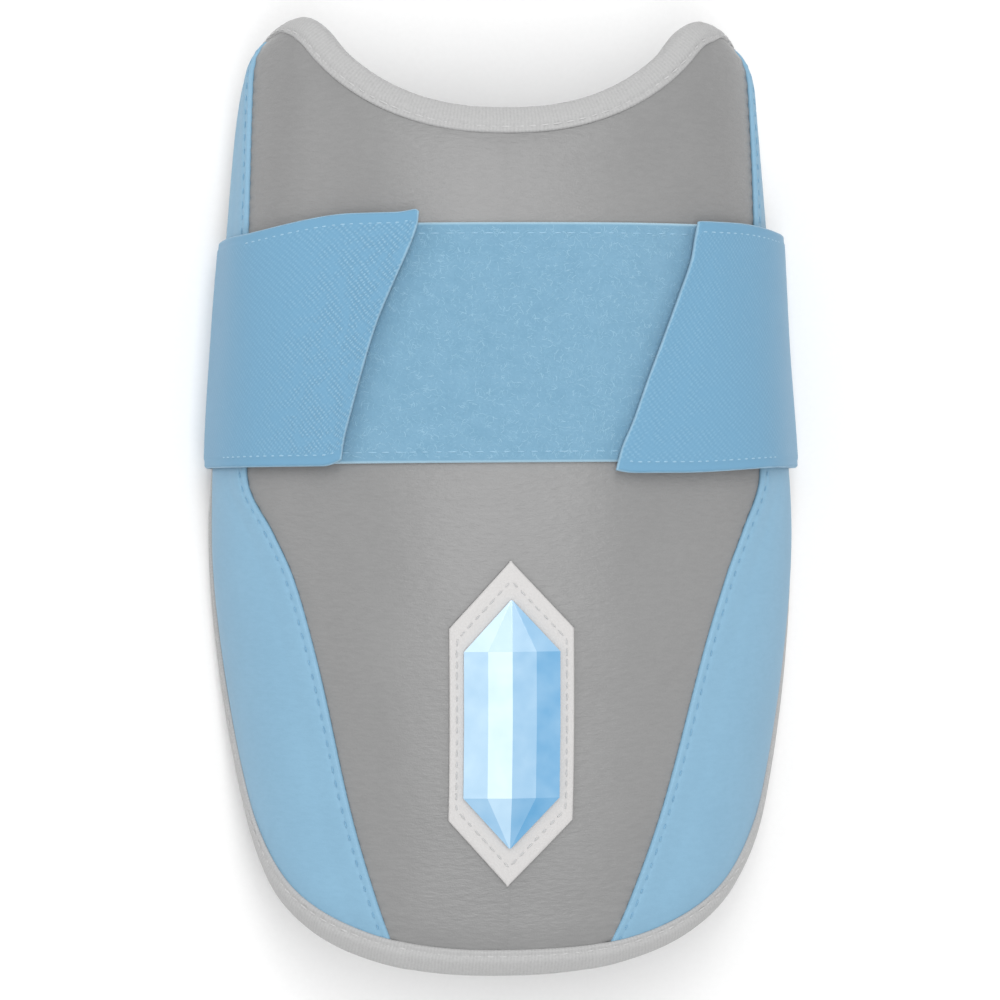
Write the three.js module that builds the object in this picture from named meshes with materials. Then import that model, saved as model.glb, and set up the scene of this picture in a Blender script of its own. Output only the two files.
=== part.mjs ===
// A padded elbow guard, lying on its back: an arched foam pad in a sewn cover, with a bound edge and a wide
// elastic strap. X runs across the arm, Y along it towards the scooped end, Z out of the front.
// Every piece is cut flat, at u across and y along the pattern, and then bent over the arch.
import * as THREE from 'three';

// Arch of the cover, in millimetres and degrees: one row for each cross section along the arm.
const SECTIONS = [
  { y: -122, halfWidth: 62.0, crown: 47.0, lean: 20 },
  { y: -75, halfWidth: 65.2, crown: 55.0, lean: 15 },
  { y: -14, halfWidth: 72.2, crown: 60.0, lean: 4 },
  { y: 40, halfWidth: 69.0, crown: 60.5, lean: 0 },
  { y: 80, halfWidth: 65.8, crown: 58.5, lean: 0 },
  { y: 122, halfWidth: 62.0, crown: 54.0, lean: 0 },
];
const CROWN_RADIUS = 110;
const SHOULDER_RADIUS = 37;

// Outline of the pad: a round lower end, straight sides, and two horns beside a scoop.
const TIP_Y = -115;
const LOWER_SIDE_Y = -20;
const TIP_POWER = 2.3;
const UPPER_SIDE_Y = 72;
const SCOOP_Y = 91.2;
const HORN_Y = 115.3;
const HORN_SHARE = 0.54;
const SCOOP_POWER = 2.4;
const HORN_POWER = 2.3;
const HORN_ROUND = 5;
const SIDE_CLEARANCE = 2.35;
const STRAP_ROOM = 4.2;
const STRAP_ROOM_FROM = -16;
const STRAP_ROOM_TO = 16;

// Layers, measured outwards from the face of the cover.
const GAP = 0.4;
const FOAM_GAP = 0.9;
const COVER = 1.2;
const FOAM = 8.4;
const EDGE_SINK = 2.5;
const EDGE_PINCH = 4;
const EDGE_ROLL = 12;
const FRONT_STEPS = 18;
const SIDE_STEPS = 8;
const ROW_STEPS = 21;
const CROWDING = 0.7;
const EDGE_STATIONS = 360;
const HALVINGS = 40;

// Seam between the front panel and a side panel.
const SEAM = [
  { y: -122, u: 20.5 },
  { y: -107, u: 27.0 },
  { y: -78, u: 37.4 },
  { y: -40, u: 47.8 },
  { y: -20, u: 54.2 },
  { y: -9, u: 59.8 },
  { y: 4, u: 66.6 },
  { y: 67, u: 69.2 },
  { y: 118, u: 71.0 },
];

// Binding tape, folded over the edge.
const TAPE = 0.8;
const TAPE_REACH = 7.5;
const TAPE_SLACK = 0.4;
const TAPE_STATIONS = 104;

// Fastening patch and strap.
const PATCH = { low: 7.3, high: 64.3, half: 60, thick: 1, acrossSteps: 16, alongSteps: 6 };
const TAB = { thick: 1, inset: 3, length: 40, margin: 3, acrossSteps: 8, alongSteps: 5 };
const STRAP_THICK = 1.5;
const STRAP_SIDE_LIFT = 1.5;
const STRAP_EASE_FROM = 60;
const STRAP_EASE_TO = 84;
const STRAP_TURN = 4;
const STRAP_STEPS = { front: 15, turn: 4, back: 4, across: 4 };
const STRAP_EDGES = {
  leftEnd: { low: 6.7, high: 67.4, uLow: -39, uHigh: -20.8 },
  side: { low: 6.7, high: 63.6 },
  rightEnd: { low: 4.6, high: 64.8, uLow: 24.3, uHigh: 44.6 },
};

// Badge: an upright six-sided plaque with a faceted face.
const BADGE = { u: -1, y: -55, halfHeight: 39, halfWidth: 15, corner: 23, point: 0.02, thick: 0.8 };
const INLAY_SHARE = 0.76;
const INLAY_RIDGE = 1.6;

const UP = 1;
const clamp = (value, low, high) => Math.min(Math.max(value, low), high);
const mix = (from, to, t) => from + (to - from) * t;
const ease = THREE.MathUtils.smoothstep;

// A smooth curve through one column of a table whose rows are sorted by y.
function along(rows, column, y) {
  const at = clamp(y, rows[0].y, rows[rows.length - 1].y);
  const next = clamp(rows.findIndex((row) => row.y > at), 1, rows.length - 1);
  const k = at >= rows[rows.length - 1].y ? rows.length - 2 : next - 1;
  const slope = (i) => {
    const before = rows[Math.max(i - 1, 0)];
    const after = rows[Math.min(i + 1, rows.length - 1)];
    return (after[column] - before[column]) / (after.y - before.y);
  };
  const width = rows[k + 1].y - rows[k].y;
  const t = (at - rows[k].y) / width;
  const hold = (1 + 2 * t) * (1 - t) ** 2 * rows[k][column] + t * t * (3 - 2 * t) * rows[k + 1][column];
  return hold + width * (t * (1 - t) ** 2 * slope(k) - t * t * (1 - t) * slope(k + 1));
}

// The arch at y: a wide crown arc, a tighter shoulder arc, then a straight wall down to the floor.
function section(y) {
  const crown = along(SECTIONS, 'crown', y);
  const halfWidth = along(SECTIONS, 'halfWidth', y);
  const alpha = Math.asin((halfWidth - SHOULDER_RADIUS) / (CROWN_RADIUS - SHOULDER_RADIUS));
  const last = Math.PI / 2 - THREE.MathUtils.degToRad(Math.max(along(SECTIONS, 'lean', y), 0));
  const crownEnd = CROWN_RADIUS * alpha;
  const shoulderEnd = crownEnd + SHOULDER_RADIUS * (last - alpha);
  const centreX = (CROWN_RADIUS - SHOULDER_RADIUS) * Math.sin(alpha);
  const centreZ = crown - CROWN_RADIUS + (CROWN_RADIUS - SHOULDER_RADIUS) * Math.cos(alpha);
  const wallTop = centreZ + SHOULDER_RADIUS * Math.cos(last);
  const floor = shoulderEnd + wallTop / Math.sin(last);
  return { crown, alpha, last, crownEnd, shoulderEnd, centreX, centreZ, floor };
}

// Bends a point of the flat pattern over the arch; lift is its height off the cover.
function bend(u, y, lift) {
  const s = section(y);
  const run = Math.abs(u);
  let turn = run / CROWN_RADIUS;
  let x = CROWN_RADIUS * Math.sin(turn);
  let z = s.crown - CROWN_RADIUS * (1 - Math.cos(turn));
  if (run > s.crownEnd) {
    turn = Math.min(s.alpha + (run - s.crownEnd) / SHOULDER_RADIUS, s.last);
    const wall = Math.max(run - s.shoulderEnd, 0);
    x = s.centreX + SHOULDER_RADIUS * Math.sin(turn) + wall * Math.cos(s.last);
    z = s.centreZ + SHOULDER_RADIUS * Math.cos(turn) - wall * Math.sin(s.last);
  }
  const side = u < 0 ? -1 : 1;
  return new THREE.Vector3(side * (x + lift * Math.sin(turn)), y, z + lift * Math.cos(turn));
}

// How far the pad reaches from the crown line at y, and its ends on the line that is the share q of that reach.
function reach(y) {
  return section(y).floor - SIDE_CLEARANCE - STRAP_ROOM * ease(y, STRAP_ROOM_FROM, STRAP_ROOM_TO);
}

function lowerEnd(q) {
  const share = Math.min(Math.abs(q), 1) ** TIP_POWER;
  return LOWER_SIDE_Y - (LOWER_SIDE_Y - TIP_Y) * (1 - share) ** (1 / TIP_POWER);
}

function upperEnd(q) {
  const share = Math.abs(q);
  const scoop = SCOOP_Y + (HORN_Y - SCOOP_Y) * (share / HORN_SHARE) ** SCOOP_POWER;
  const past = clamp((share - HORN_SHARE) / (1 - HORN_SHARE), 0, 1);
  const corner = UPPER_SIDE_Y + (HORN_Y - UPPER_SIDE_Y) * (1 - past ** HORN_POWER) ** (1 / HORN_POWER);
  const blend = clamp(0.5 + (corner - scoop) / (2 * HORN_ROUND), 0, 1);
  return mix(corner, scoop, blend) - HORN_ROUND * blend * (1 - blend);
}

// The outline in the flat, anticlockwise, at evenly spaced stations.
function outline(stations) {
  const sweep = 150;
  const sides = 12;
  const points = [];
  const add = (q, y) => points.push(new THREE.Vector3(q * reach(y), y, 0));
  for (let i = 0; i < sweep; i += 1) {
    const q = Math.sin((i / sweep - 0.5) * Math.PI);
    add(q, lowerEnd(q));
  }
  for (let i = 0; i < sides; i += 1) add(1, mix(LOWER_SIDE_Y, UPPER_SIDE_Y, i / sides));
  for (let i = 0; i < sweep; i += 1) {
    const q = -Math.sin((i / sweep - 0.5) * Math.PI);
    add(q, upperEnd(q));
  }
  for (let i = 0; i < sides; i += 1) add(-1, mix(UPPER_SIDE_Y, LOWER_SIDE_Y, i / sides));
  const curve = new THREE.CatmullRomCurve3(points, true);
  curve.arcLengthDivisions = 2000;
  return curve.getSpacedPoints(stations).slice(0, stations);
}

// Distance in the flat from a point to the nearest edge of the pad.
const EDGE = outline(EDGE_STATIONS);
function edgeDistance(u, y) {
  const point = new THREE.Vector3(u, y, 0);
  const line = new THREE.Line3();
  const nearest = new THREE.Vector3();
  let best = Infinity;
  EDGE.forEach((start, i) => {
    line.set(start, EDGE[(i + 1) % EDGE.length]);
    line.closestPointToPoint(point, true, nearest);
    best = Math.min(best, nearest.distanceTo(point));
  });
  return best;
}

// Towards its edge the cover rolls in and the foam is pinched thinner, both on a parabola.
function edgeRoll(distance) {
  return (1 - clamp(distance / EDGE_ROLL, 0, 1)) ** 2;
}

const coverFace = (distance) => -EDGE_SINK * edgeRoll(distance);
const innerFace = (distance) => -(COVER + FOAM_GAP + FOAM) + EDGE_PINCH * edgeRoll(distance);

// A closed slab: place(a, b, top) puts each grid point of its two faces, with a and b from 0 to 1.
function slab(acrossSteps, alongSteps, place) {
  const geometry = new THREE.BoxGeometry(1, 1, 1, acrossSteps, alongSteps, 1);
  const grid = geometry.attributes.position;
  for (let i = 0; i < grid.count; i += 1) {
    const point = place(grid.getX(i) + 0.5, grid.getY(i) + 0.5, grid.getZ(i) > 0);
    grid.setXYZ(i, point.x, point.y, point.z);
  }
  geometry.computeVertexNormals();
  return geometry;
}

// Rows crowd together towards both ends of a line, where the edge rolls.
const crowd = (t) => mix(t, (1 - Math.cos(Math.PI * t)) / 2, CROWDING);

// Where a line of the pattern, u(y), meets the pad's lower or upper end.
function meetEnd(u, end, inside, outside) {
  let near = inside;
  let far = outside;
  const direction = Math.sign(outside - inside);
  for (let i = 0; i < HALVINGS; i += 1) {
    const y = (near + far) / 2;
    if ((end(u(y) / reach(y)) - y) * direction > 0) near = y;
    else far = y;
  }
  return near;
}

const seam = (y) => along(SEAM, 'u', y);

// Lines of the pattern: share 0 is the crown line, 1 a seam and 2 a bound edge, negative on the left.
function patternLine(share, y) {
  const past = Math.abs(share) - 1;
  const run = past <= 0 ? (1 + past) * seam(y) : mix(seam(y), reach(y), Math.sin(past * Math.PI / 2));
  return Math.sign(share) * run;
}

// The point on a line of the pattern, moved sideways by shift, at b from its lower to its upper end.
function patternPoint(share, shift, b) {
  const u = (y) => patternLine(share, y) + shift;
  const low = meetEnd(u, lowerEnd, LOWER_SIDE_Y, TIP_Y - 1);
  const high = meetEnd(u, upperEnd, UPPER_SIDE_Y, HORN_Y + 1);
  const y = mix(low, high, crowd(b));
  return { u: u(y), y, distance: edgeDistance(u(y), y) };
}

// The foam lies under the three panels, on the same lines.
function padCore() {
  const columns = FRONT_STEPS + 2 * SIDE_STEPS;
  return slab(columns, ROW_STEPS, (a, b, top) => {
    const column = Math.round(a * columns) - columns / 2;
    const pastSeam = Math.max(Math.abs(column) - FRONT_STEPS / 2, 0);
    const onFront = Math.min(Math.abs(column), FRONT_STEPS / 2);
    const share = Math.sign(column) * (2 * onFront / FRONT_STEPS + pastSeam / SIDE_STEPS);
    const { u, y, distance } = patternPoint(share, 0, b);
    return bend(u, y, top ? coverFace(distance) - COVER - FOAM_GAP : innerFace(distance));
  });
}

// A panel of the cover between two lines of the pattern, set back from its seams by half a gap.
function coverPanel(steps, fromShare, toShare, setBack) {
  return slab(steps, ROW_STEPS, (a, b, top) => {
    const share = mix(fromShare, toShare, a);
    const { u, y, distance } = patternPoint(share, setBack(share), b);
    return bend(u, y, coverFace(distance) - (top ? 0 : COVER));
  });
}

const frontSetBack = (share) => -share * GAP / 2;
const sideSetBack = (share) => Math.sign(share) * (2 - Math.abs(share)) * GAP / 2;

// The tape's folded section, round from outside the edge: depth inwards, and height off the nearer face.
function tapeSection() {
  const outer = GAP + TAPE;
  const slack = GAP + TAPE_SLACK;
  const half = TAPE_REACH / 2;
  const leg = (face) => [
    { depth: 0, off: outer, face },
    { depth: half, off: outer, face },
    { depth: TAPE_REACH, off: outer, face },
    { depth: TAPE_REACH, off: GAP, face },
    { depth: half, off: GAP, face },
    { depth: 0, off: GAP, face },
  ];
  const web = (depth, face) => ({ depth, off: 0, face });
  const topLeg = leg(UP);
  const lowLeg = leg(-UP).reverse();
  const outside = [web(-slack - TAPE, UP), ...topLeg, web(-slack, UP)];
  return [...outside, web(-slack, -UP), ...lowLeg, web(-slack - TAPE, -UP)];
}

function edgeBinding() {
  const points = tapeSection();
  const stations = outline(TAPE_STATIONS);
  const geometry = new THREE.TorusGeometry(1, 0.5, points.length, TAPE_STATIONS);
  const ring = geometry.attributes.position;
  const uv = geometry.attributes.uv;
  for (let i = 0; i < ring.count; i += 1) {
    const k = Math.round(uv.getX(i) * TAPE_STATIONS) % TAPE_STATIONS;
    const { depth, off, face } = points[Math.round(uv.getY(i) * points.length) % points.length];
    const before = stations[(k + TAPE_STATIONS - 1) % TAPE_STATIONS];
    const after = stations[(k + 1) % TAPE_STATIONS];
    const tangent = after.clone().sub(before).normalize();
    const u = stations[k].x - tangent.y * depth;
    const y = stations[k].y + tangent.x * depth;
    const inside = Math.max(depth, 0);
    const lift = face === UP ? coverFace(inside) + off : innerFace(inside) - TAPE_SLACK - off;
    const point = bend(u, y, lift);
    ring.setXYZ(i, point.x, point.y, point.z);
  }
  geometry.computeVertexNormals();
  return geometry;
}

function loopPatch() {
  return slab(PATCH.acrossSteps, PATCH.alongSteps, (a, b, top) => {
    const u = mix(-PATCH.half, PATCH.half, a);
    return bend(u, mix(PATCH.low, PATCH.high, b), GAP + (top ? PATCH.thick : 0));
  });
}

const TAB_LIFT = GAP + PATCH.thick + GAP;
const STRAP_FRONT_LIFT = TAB_LIFT + TAB.thick + GAP;

// The strap's inner face stands high over the patch and tabs and comes down beside them.
function strapLift(u) {
  return mix(STRAP_FRONT_LIFT, STRAP_SIDE_LIFT, ease(Math.abs(u), STRAP_EASE_FROM, STRAP_EASE_TO));
}

function hookTab(end, side) {
  return slab(TAB.acrossSteps, TAB.alongSteps, (a, b, top) => {
    const y = mix(end.low + TAB.margin, end.high - TAB.margin, b);
    const run = TAB.inset + TAB.length * (side < 0 ? 1 - a : a);
    const u = mix(end.uLow, end.uHigh, b) + side * run;
    const capped = clamp(u, -STRAP_EASE_FROM, STRAP_EASE_FROM);
    return bend(capped, clamp(y, PATCH.low, PATCH.high), TAB_LIFT + (top ? TAB.thick : 0));
  });
}

// One side of the strap: over the front and down the wall, a quarter turn under the pad, and half the back.
// Stage 0 to 1 is the front and wall, 1 to 2 the turn and 2 to 3 the back; b crosses the band.
function strapPoint(side, stage, b, top) {
  const end = side < 0 ? STRAP_EDGES.leftEnd : STRAP_EDGES.rightEnd;
  const settle = ease(stage, 0, 1);
  const low = mix(end.low, STRAP_EDGES.side.low, settle);
  const high = mix(end.high, STRAP_EDGES.side.high, settle);
  const y = mix(low, high, b);
  const thick = top ? STRAP_THICK : 0;
  const turnHeight = STRAP_TURN + STRAP_SIDE_LIFT + STRAP_THICK;
  const wallEnd = section(y).floor - turnHeight;
  if (stage <= 1) {
    const u = mix(mix(end.uLow, end.uHigh, b), side * wallEnd, stage);
    return bend(u, y, strapLift(u) + thick);
  }
  const centre = Math.abs(bend(wallEnd, y, 0).x) - STRAP_TURN;
  const radius = STRAP_TURN + STRAP_SIDE_LIFT + thick;
  const turn = Math.min(stage - 1, 1) * Math.PI / 2;
  const onBack = Math.max(stage - 2, 0);
  const x = centre * (1 - onBack) + radius * Math.cos(turn);
  return new THREE.Vector3(side * x, y, turnHeight - radius * Math.sin(turn));
}

// The band runs from its right end down, across the back and up to its left end.
function strapBand() {
  const stages = [];
  for (let i = 0; i < STRAP_STEPS.front; i += 1) stages.push(i / STRAP_STEPS.front);
  for (let i = 0; i < STRAP_STEPS.turn; i += 1) stages.push(1 + i / STRAP_STEPS.turn);
  for (let i = 0; i < STRAP_STEPS.back; i += 1) stages.push(2 + i / STRAP_STEPS.back);
  const half = stages.length;
  return slab(2 * half, STRAP_STEPS.across, (a, b, top) => {
    const step = Math.round(a * 2 * half);
    if (step < half) return strapPoint(1, stages[step], b, top);
    if (step > half) return strapPoint(-1, stages[2 * half - step], b, top);
    return strapPoint(1, 3, b, top);
  });
}

// The badge's half width at a height between -1 and 1 of its half height.
function badgeHalfWidth(share, size) {
  const height = Math.abs(share) * BADGE.halfHeight;
  const taper = clamp((BADGE.halfHeight - height) / (BADGE.halfHeight - BADGE.corner), BADGE.point, 1);
  return size * BADGE.halfWidth * taper;
}

const BADGE_ROWS = [-1, -BADGE.corner / BADGE.halfHeight, 0, BADGE.corner / BADGE.halfHeight, 1];

// A plate of the badge, with a ridge along its middle that dies out at both points.
function badgePlate(size, lift, ridge) {
  const last = BADGE_ROWS.length - 1;
  const columns = 4;
  return slab(columns, last, (a, b, top) => {
    const share = BADGE_ROWS[Math.round(b * last)];
    const across = 2 * a - 1;
    const u = BADGE.u + across * badgeHalfWidth(share, size);
    const y = BADGE.y + share * size * BADGE.halfHeight;
    const peak = ridge * (1 - Math.abs(across)) * (1 - Math.abs(share) ** 4);
    return bend(u, y, lift + (top ? BADGE.thick + peak : 0));
  });
}

function finish(color, roughness) {
  return new THREE.MeshStandardMaterial({ color, roughness, metalness: 0 });
}

const FOAM_GREY = finish(0x6d6f72, 0.95);
const COVER_GREY = finish(0xa2a2a2, 0.6);
const COVER_BLUE = finish(0x91b9d2, 0.65);
const TAPE_GREY = finish(0xc2c2c2, 0.85);
const LOOP_BLUE = finish(0x87b4cf, 1);
const STRAP_BLUE = finish(0x80b0cf, 0.9);
const ICE_BLUE = finish(0xa9d3ec, 0.3);

const guard = new THREE.Group();

function addPiece(name, geometry, material) {
  const piece = new THREE.Mesh(geometry, material);
  piece.name = name;
  guard.add(piece);
}

addPiece('pad_core', padCore(), FOAM_GREY);
addPiece('front_panel', coverPanel(FRONT_STEPS, -1, 1, frontSetBack), COVER_GREY);
addPiece('side_panel_left', coverPanel(SIDE_STEPS, -2, -1, sideSetBack), COVER_BLUE);
addPiece('side_panel_right', coverPanel(SIDE_STEPS, 1, 2, sideSetBack), COVER_BLUE);
addPiece('edge_binding', edgeBinding(), TAPE_GREY);
addPiece('loop_patch', loopPatch(), LOOP_BLUE);
addPiece('hook_tab_left', hookTab(STRAP_EDGES.leftEnd, -1), STRAP_BLUE);
addPiece('hook_tab_right', hookTab(STRAP_EDGES.rightEnd, 1), STRAP_BLUE);
addPiece('strap_band', strapBand(), STRAP_BLUE);
addPiece('badge_border', badgePlate(1, GAP, 0), TAPE_GREY);
addPiece('badge_inlay', badgePlate(INLAY_SHARE, GAP + BADGE.thick + GAP, INLAY_RIDGE), ICE_BLUE);

export default guard;
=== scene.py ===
# %% [markdown]
# # An elbow guard, sewn in Blender
# The guard is an arched foam pad in a grey and blue cover, bound with tape and closed by a wide elastic
# strap. The solids of every piece are packed already, so this lesson only dresses them: each piece is
# cut flat, with u across the arm and y along it, and then bent over the same arch that shaped the
# solids.

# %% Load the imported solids
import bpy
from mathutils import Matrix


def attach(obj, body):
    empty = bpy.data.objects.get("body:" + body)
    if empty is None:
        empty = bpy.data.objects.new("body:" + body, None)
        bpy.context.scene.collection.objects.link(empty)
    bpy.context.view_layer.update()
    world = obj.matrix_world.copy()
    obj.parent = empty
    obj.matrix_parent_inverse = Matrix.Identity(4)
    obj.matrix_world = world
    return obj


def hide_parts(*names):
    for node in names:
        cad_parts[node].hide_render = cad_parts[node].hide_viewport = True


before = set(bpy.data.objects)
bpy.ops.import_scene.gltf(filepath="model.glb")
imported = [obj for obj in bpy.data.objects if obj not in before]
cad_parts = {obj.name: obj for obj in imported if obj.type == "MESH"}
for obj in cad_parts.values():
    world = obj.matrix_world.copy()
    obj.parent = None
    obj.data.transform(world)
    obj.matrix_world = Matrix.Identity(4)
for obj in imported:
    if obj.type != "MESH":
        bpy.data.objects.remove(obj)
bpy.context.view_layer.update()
print("solids:", sorted(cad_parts))

# %% [markdown]
# ## Camera
# The photograph looks straight down on the front of the guard, from a little to the left, with a long
# lens. The distance and the width of the view fix the lens, so the picture's scale is set by two real
# sizes.

# %% Camera
import math
from types import SimpleNamespace

import bmesh
import bpy
import numpy as np
from mathutils import Matrix, Vector, kdtree, noise

MM = 0.001
SENSOR = 36.0
VIEW_DISTANCE = 870 * MM
VIEW_SPAN = 245 * MM
VIEW_YAW = math.radians(3.6)
VIEW_ROLL = math.radians(-0.4)
VIEW_AIM = Vector((-1.1, -1.2, 30.0)) * MM

scene = bpy.context.scene
camera = bpy.data.objects.new("camera", bpy.data.cameras.new("camera"))
camera.data.sensor_width = SENSOR
camera.data.lens = SENSOR * VIEW_DISTANCE / VIEW_SPAN
camera.location = VIEW_AIM + VIEW_DISTANCE * Vector((-math.sin(VIEW_YAW), 0, math.cos(VIEW_YAW)))
camera.rotation_euler = (0, -VIEW_YAW, VIEW_ROLL)
scene.collection.objects.link(camera)
scene.camera = camera
print("lens", round(camera.data.lens, 1), "mm")

# %% [markdown]
# ## Studio
# The guard lies on a pale sheet under a long narrow softbox, in a bright white room. The softbox makes
# the soft sheen along the front's flat middle. The room and a small softbox on either side light the
# walls, which keeps the shading as gentle as it is in the photograph.

# %% Floor, room and softboxes
FLOOR_HALF = 2.5
FLOOR_DROP = 0.3 * MM
ROOM_LIGHT = 0.66
SOFTBOXES = {
    "top_softbox": {"place": (0.02, 0.25, 1.2), "size": (0.36, 1.6), "watts": 10.5, "aimed": False},
    "left_softbox": {"place": (-1.3, 0.5, 0.9), "size": (0.8, 0.8), "watts": 3.1, "aimed": True},
    "right_softbox": {"place": (1.3, -0.4, 0.8), "size": (0.8, 0.8), "watts": 1.4, "aimed": True},
}

scene.view_settings.view_transform = "Standard"
scene.world = bpy.data.worlds.new("white_room")
scene.world.use_nodes = True
room = scene.world.node_tree.nodes["Background"]
room.inputs["Color"].default_value = (1.0, 1.0, 1.0, 1.0)
room.inputs["Strength"].default_value = ROOM_LIGHT

for name, box in SOFTBOXES.items():
    light = bpy.data.lights.new(name, "AREA")
    light.shape = "RECTANGLE"
    light.size, light.size_y = box["size"]
    light.energy = box["watts"]
    lamp = bpy.data.objects.new(name, light)
    lamp.location = box["place"]
    if box["aimed"]:
        lamp.rotation_euler = (-lamp.location).to_track_quat("-Z", "Y").to_euler()
    scene.collection.objects.link(lamp)

floor_sheet = bmesh.new()
bmesh.ops.create_grid(floor_sheet, x_segments=4, y_segments=4, size=FLOOR_HALF)
floor_mesh = bpy.data.meshes.new("floor")
floor_sheet.to_mesh(floor_mesh)
floor_sheet.free()
floor_mesh.transform(Matrix.Translation((0, 0, -FLOOR_DROP)))
floor = bpy.data.objects.new("floor", floor_mesh)
scene.collection.objects.link(floor)
print("softboxes:", len(SOFTBOXES))

# %% [markdown]
# ## Writing finishes as sums
# A finish is a node tree, and most of its nodes are arithmetic. A small class stands for a value in the
# tree, so that a mask can be written as `1 - wear * 0.5` and the Math nodes appear by themselves. Every
# other node comes from one method, which takes its type, its settings and what feeds its sockets.

# %% Finish and Wire
class Wire:
    """A value in a finish; arithmetic on it adds Math nodes."""

    def __init__(self, finish, socket):
        self.finish = finish
        self.socket = socket

    def sum(self, operation, left, right):
        return self.finish.node("ShaderNodeMath", {"operation": operation}, {0: left, 1: right})

    def __add__(self, other):
        return self.sum("ADD", self, other)

    def __radd__(self, other):
        return self.sum("ADD", other, self)

    def __sub__(self, other):
        return self.sum("SUBTRACT", self, other)

    def __rsub__(self, other):
        return self.sum("SUBTRACT", other, self)

    def __mul__(self, other):
        return self.sum("MULTIPLY", self, other)

    def __rmul__(self, other):
        return self.sum("MULTIPLY", other, self)

    def __truediv__(self, other):
        return self.sum("DIVIDE", self, other)

    def __rtruediv__(self, other):
        return self.sum("DIVIDE", other, self)


class Finish:
    """A material in the making."""

    def __init__(self, name, **constants):
        self.material = bpy.data.materials.new(name)
        self.material.use_nodes = True
        self.tree = self.material.node_tree
        self.surface = self.tree.nodes["Principled BSDF"]
        for socket, value in constants.items():
            self.surface.inputs[socket.replace("_", " ")].default_value = value

    def feed(self, socket, value):
        if isinstance(value, Wire):
            self.tree.links.new(value.socket, socket)
        else:
            socket.default_value = value

    def node(self, kind, settings=None, sockets=None, output=0):
        made = self.tree.nodes.new(kind)
        for key, value in (settings or {}).items():
            setattr(made, key, value)
        for key, value in (sockets or {}).items():
            self.feed(made.inputs[key], value)
        return Wire(self, made.outputs[output])

    def flat(self):
        """The spot on the flat cut, in metres: across, along, and how far it is from the cut's edge."""
        return self.node("ShaderNodeAttribute", {"attribute_name": "flat"}, output="Vector")

    def axis(self, vector, letter):
        return self.node("ShaderNodeSeparateXYZ", {}, {"Vector": vector}, output=letter)

    def noise(self, vector, scale, detail=2.0, rough=0.5, skew=(1.0, 1.0, 1.0)):
        """Noise with features of about 1/scale metres, drawn out by skew."""
        laid = self.node("ShaderNodeMapping", {}, {"Vector": vector, "Scale": skew})
        sockets = {"Vector": laid, "Scale": scale, "Detail": detail, "Roughness": rough}
        return self.node("ShaderNodeTexNoise", {}, sockets)

    def ramp(self, value, low, high):
        """0 below low and 1 above high, eased between."""
        settings = {"interpolation_type": "SMOOTHSTEP"}
        sockets = {"Value": value, "From Min": low, "From Max": high}
        return self.node("ShaderNodeMapRange", settings, sockets)

    def wave(self, phase):
        """A wave from -1 to 1; phase counts its turns."""
        return self.node("ShaderNodeMath", {"operation": "SINE"}, {0: phase * math.tau})

    def blend(self, mask, first, second):
        """A colour between two; sockets 6 and 7 and output 2 are the Mix node's colours."""
        settings = {"data_type": "RGBA"}
        sockets = {0: mask, 6: first, 7: second}
        return self.node("ShaderNodeMix", settings, sockets, output=2)

    def colour(self, value):
        self.feed(self.surface.inputs["Base Color"], value)

    def roughness(self, value):
        self.feed(self.surface.inputs["Roughness"], value)

    def relief(self, *layers):
        """Bump layers, each a height from 0 to 1 and its depth in metres."""
        normal = None
        for height, depth in layers:
            sockets = {"Height": height, "Distance": depth}
            if normal is not None:
                sockets["Normal"] = normal
            normal = self.node("ShaderNodeBump", {}, sockets)
        self.feed(self.surface.inputs["Normal"], normal)


def rgb(red, green, blue):
    return (red, green, blue, 1.0)


paper = Finish("studio_sheet", Roughness=0.9)
paper_grain = paper.noise(paper.node("ShaderNodeTexCoord", output="Object"), 900.0)
paper.colour(paper.blend(paper_grain, rgb(0.87, 0.87, 0.87), rgb(0.9, 0.9, 0.9)))
floor_mesh.materials.append(paper.material)
print("finish made:", paper.material.name)

# %% [markdown]
# ## The arch
# The cover's cross section is a wide crown arc, a tighter shoulder arc and a straight wall. A short
# table gives its width, height, lean and sideways sway along the arm. Bending keeps lengths, so a piece
# keeps the size it was cut to. The crown is pressed flatter along its middle, as a moulded pad is.

# %% The arch and the bend
ARCH = {
    "y": [-122, -75, -14, 40, 80, 122],
    "half_width": [62.0, 65.2, 72.2, 68.8, 65.8, 62.0],
    "crown": [47.0, 55.0, 60.0, 60.5, 58.5, 54.0],
    "lean": [20, 15, 4, 0, 0, 0],
    "sway": [-1.8, 0.5, 0.55, -0.6, -0.4, 0.0],
}
CROWN_RADIUS = 110
SHOULDER_RADIUS = 37
PLATE_HALF = 36
PLATE_PRESS = 2.0


def mix(first, second, t):
    return first + (second - first) * t


def smooth(value, low, high):
    t = np.clip((np.asarray(value, float) - low) / (high - low), 0, 1)
    return t * t * (3 - 2 * t)


def by_side(side, left, right):
    """The left value where side is negative, and the right one elsewhere."""
    return np.where(np.asarray(side) < 0, left, right)


def along(table, column, y):
    """A smooth curve through one column of a table."""
    rows = np.array(table["y"], float)
    values = np.array(table[column], float)
    at = np.clip(y, rows[0], rows[-1])
    k = np.clip(np.searchsorted(rows, at, side="right") - 1, 0, len(rows) - 2)
    after = np.minimum(np.arange(len(rows)) + 1, len(rows) - 1)
    before = np.maximum(np.arange(len(rows)) - 1, 0)
    slope = (values[after] - values[before]) / (rows[after] - rows[before])
    width = rows[k + 1] - rows[k]
    t = (at - rows[k]) / width
    hold = (1 + 2 * t) * (1 - t) ** 2 * values[k] + t * t * (3 - 2 * t) * values[k + 1]
    return hold + width * (t * (1 - t) ** 2 * slope[k] - t * t * (1 - t) * slope[k + 1])


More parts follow.
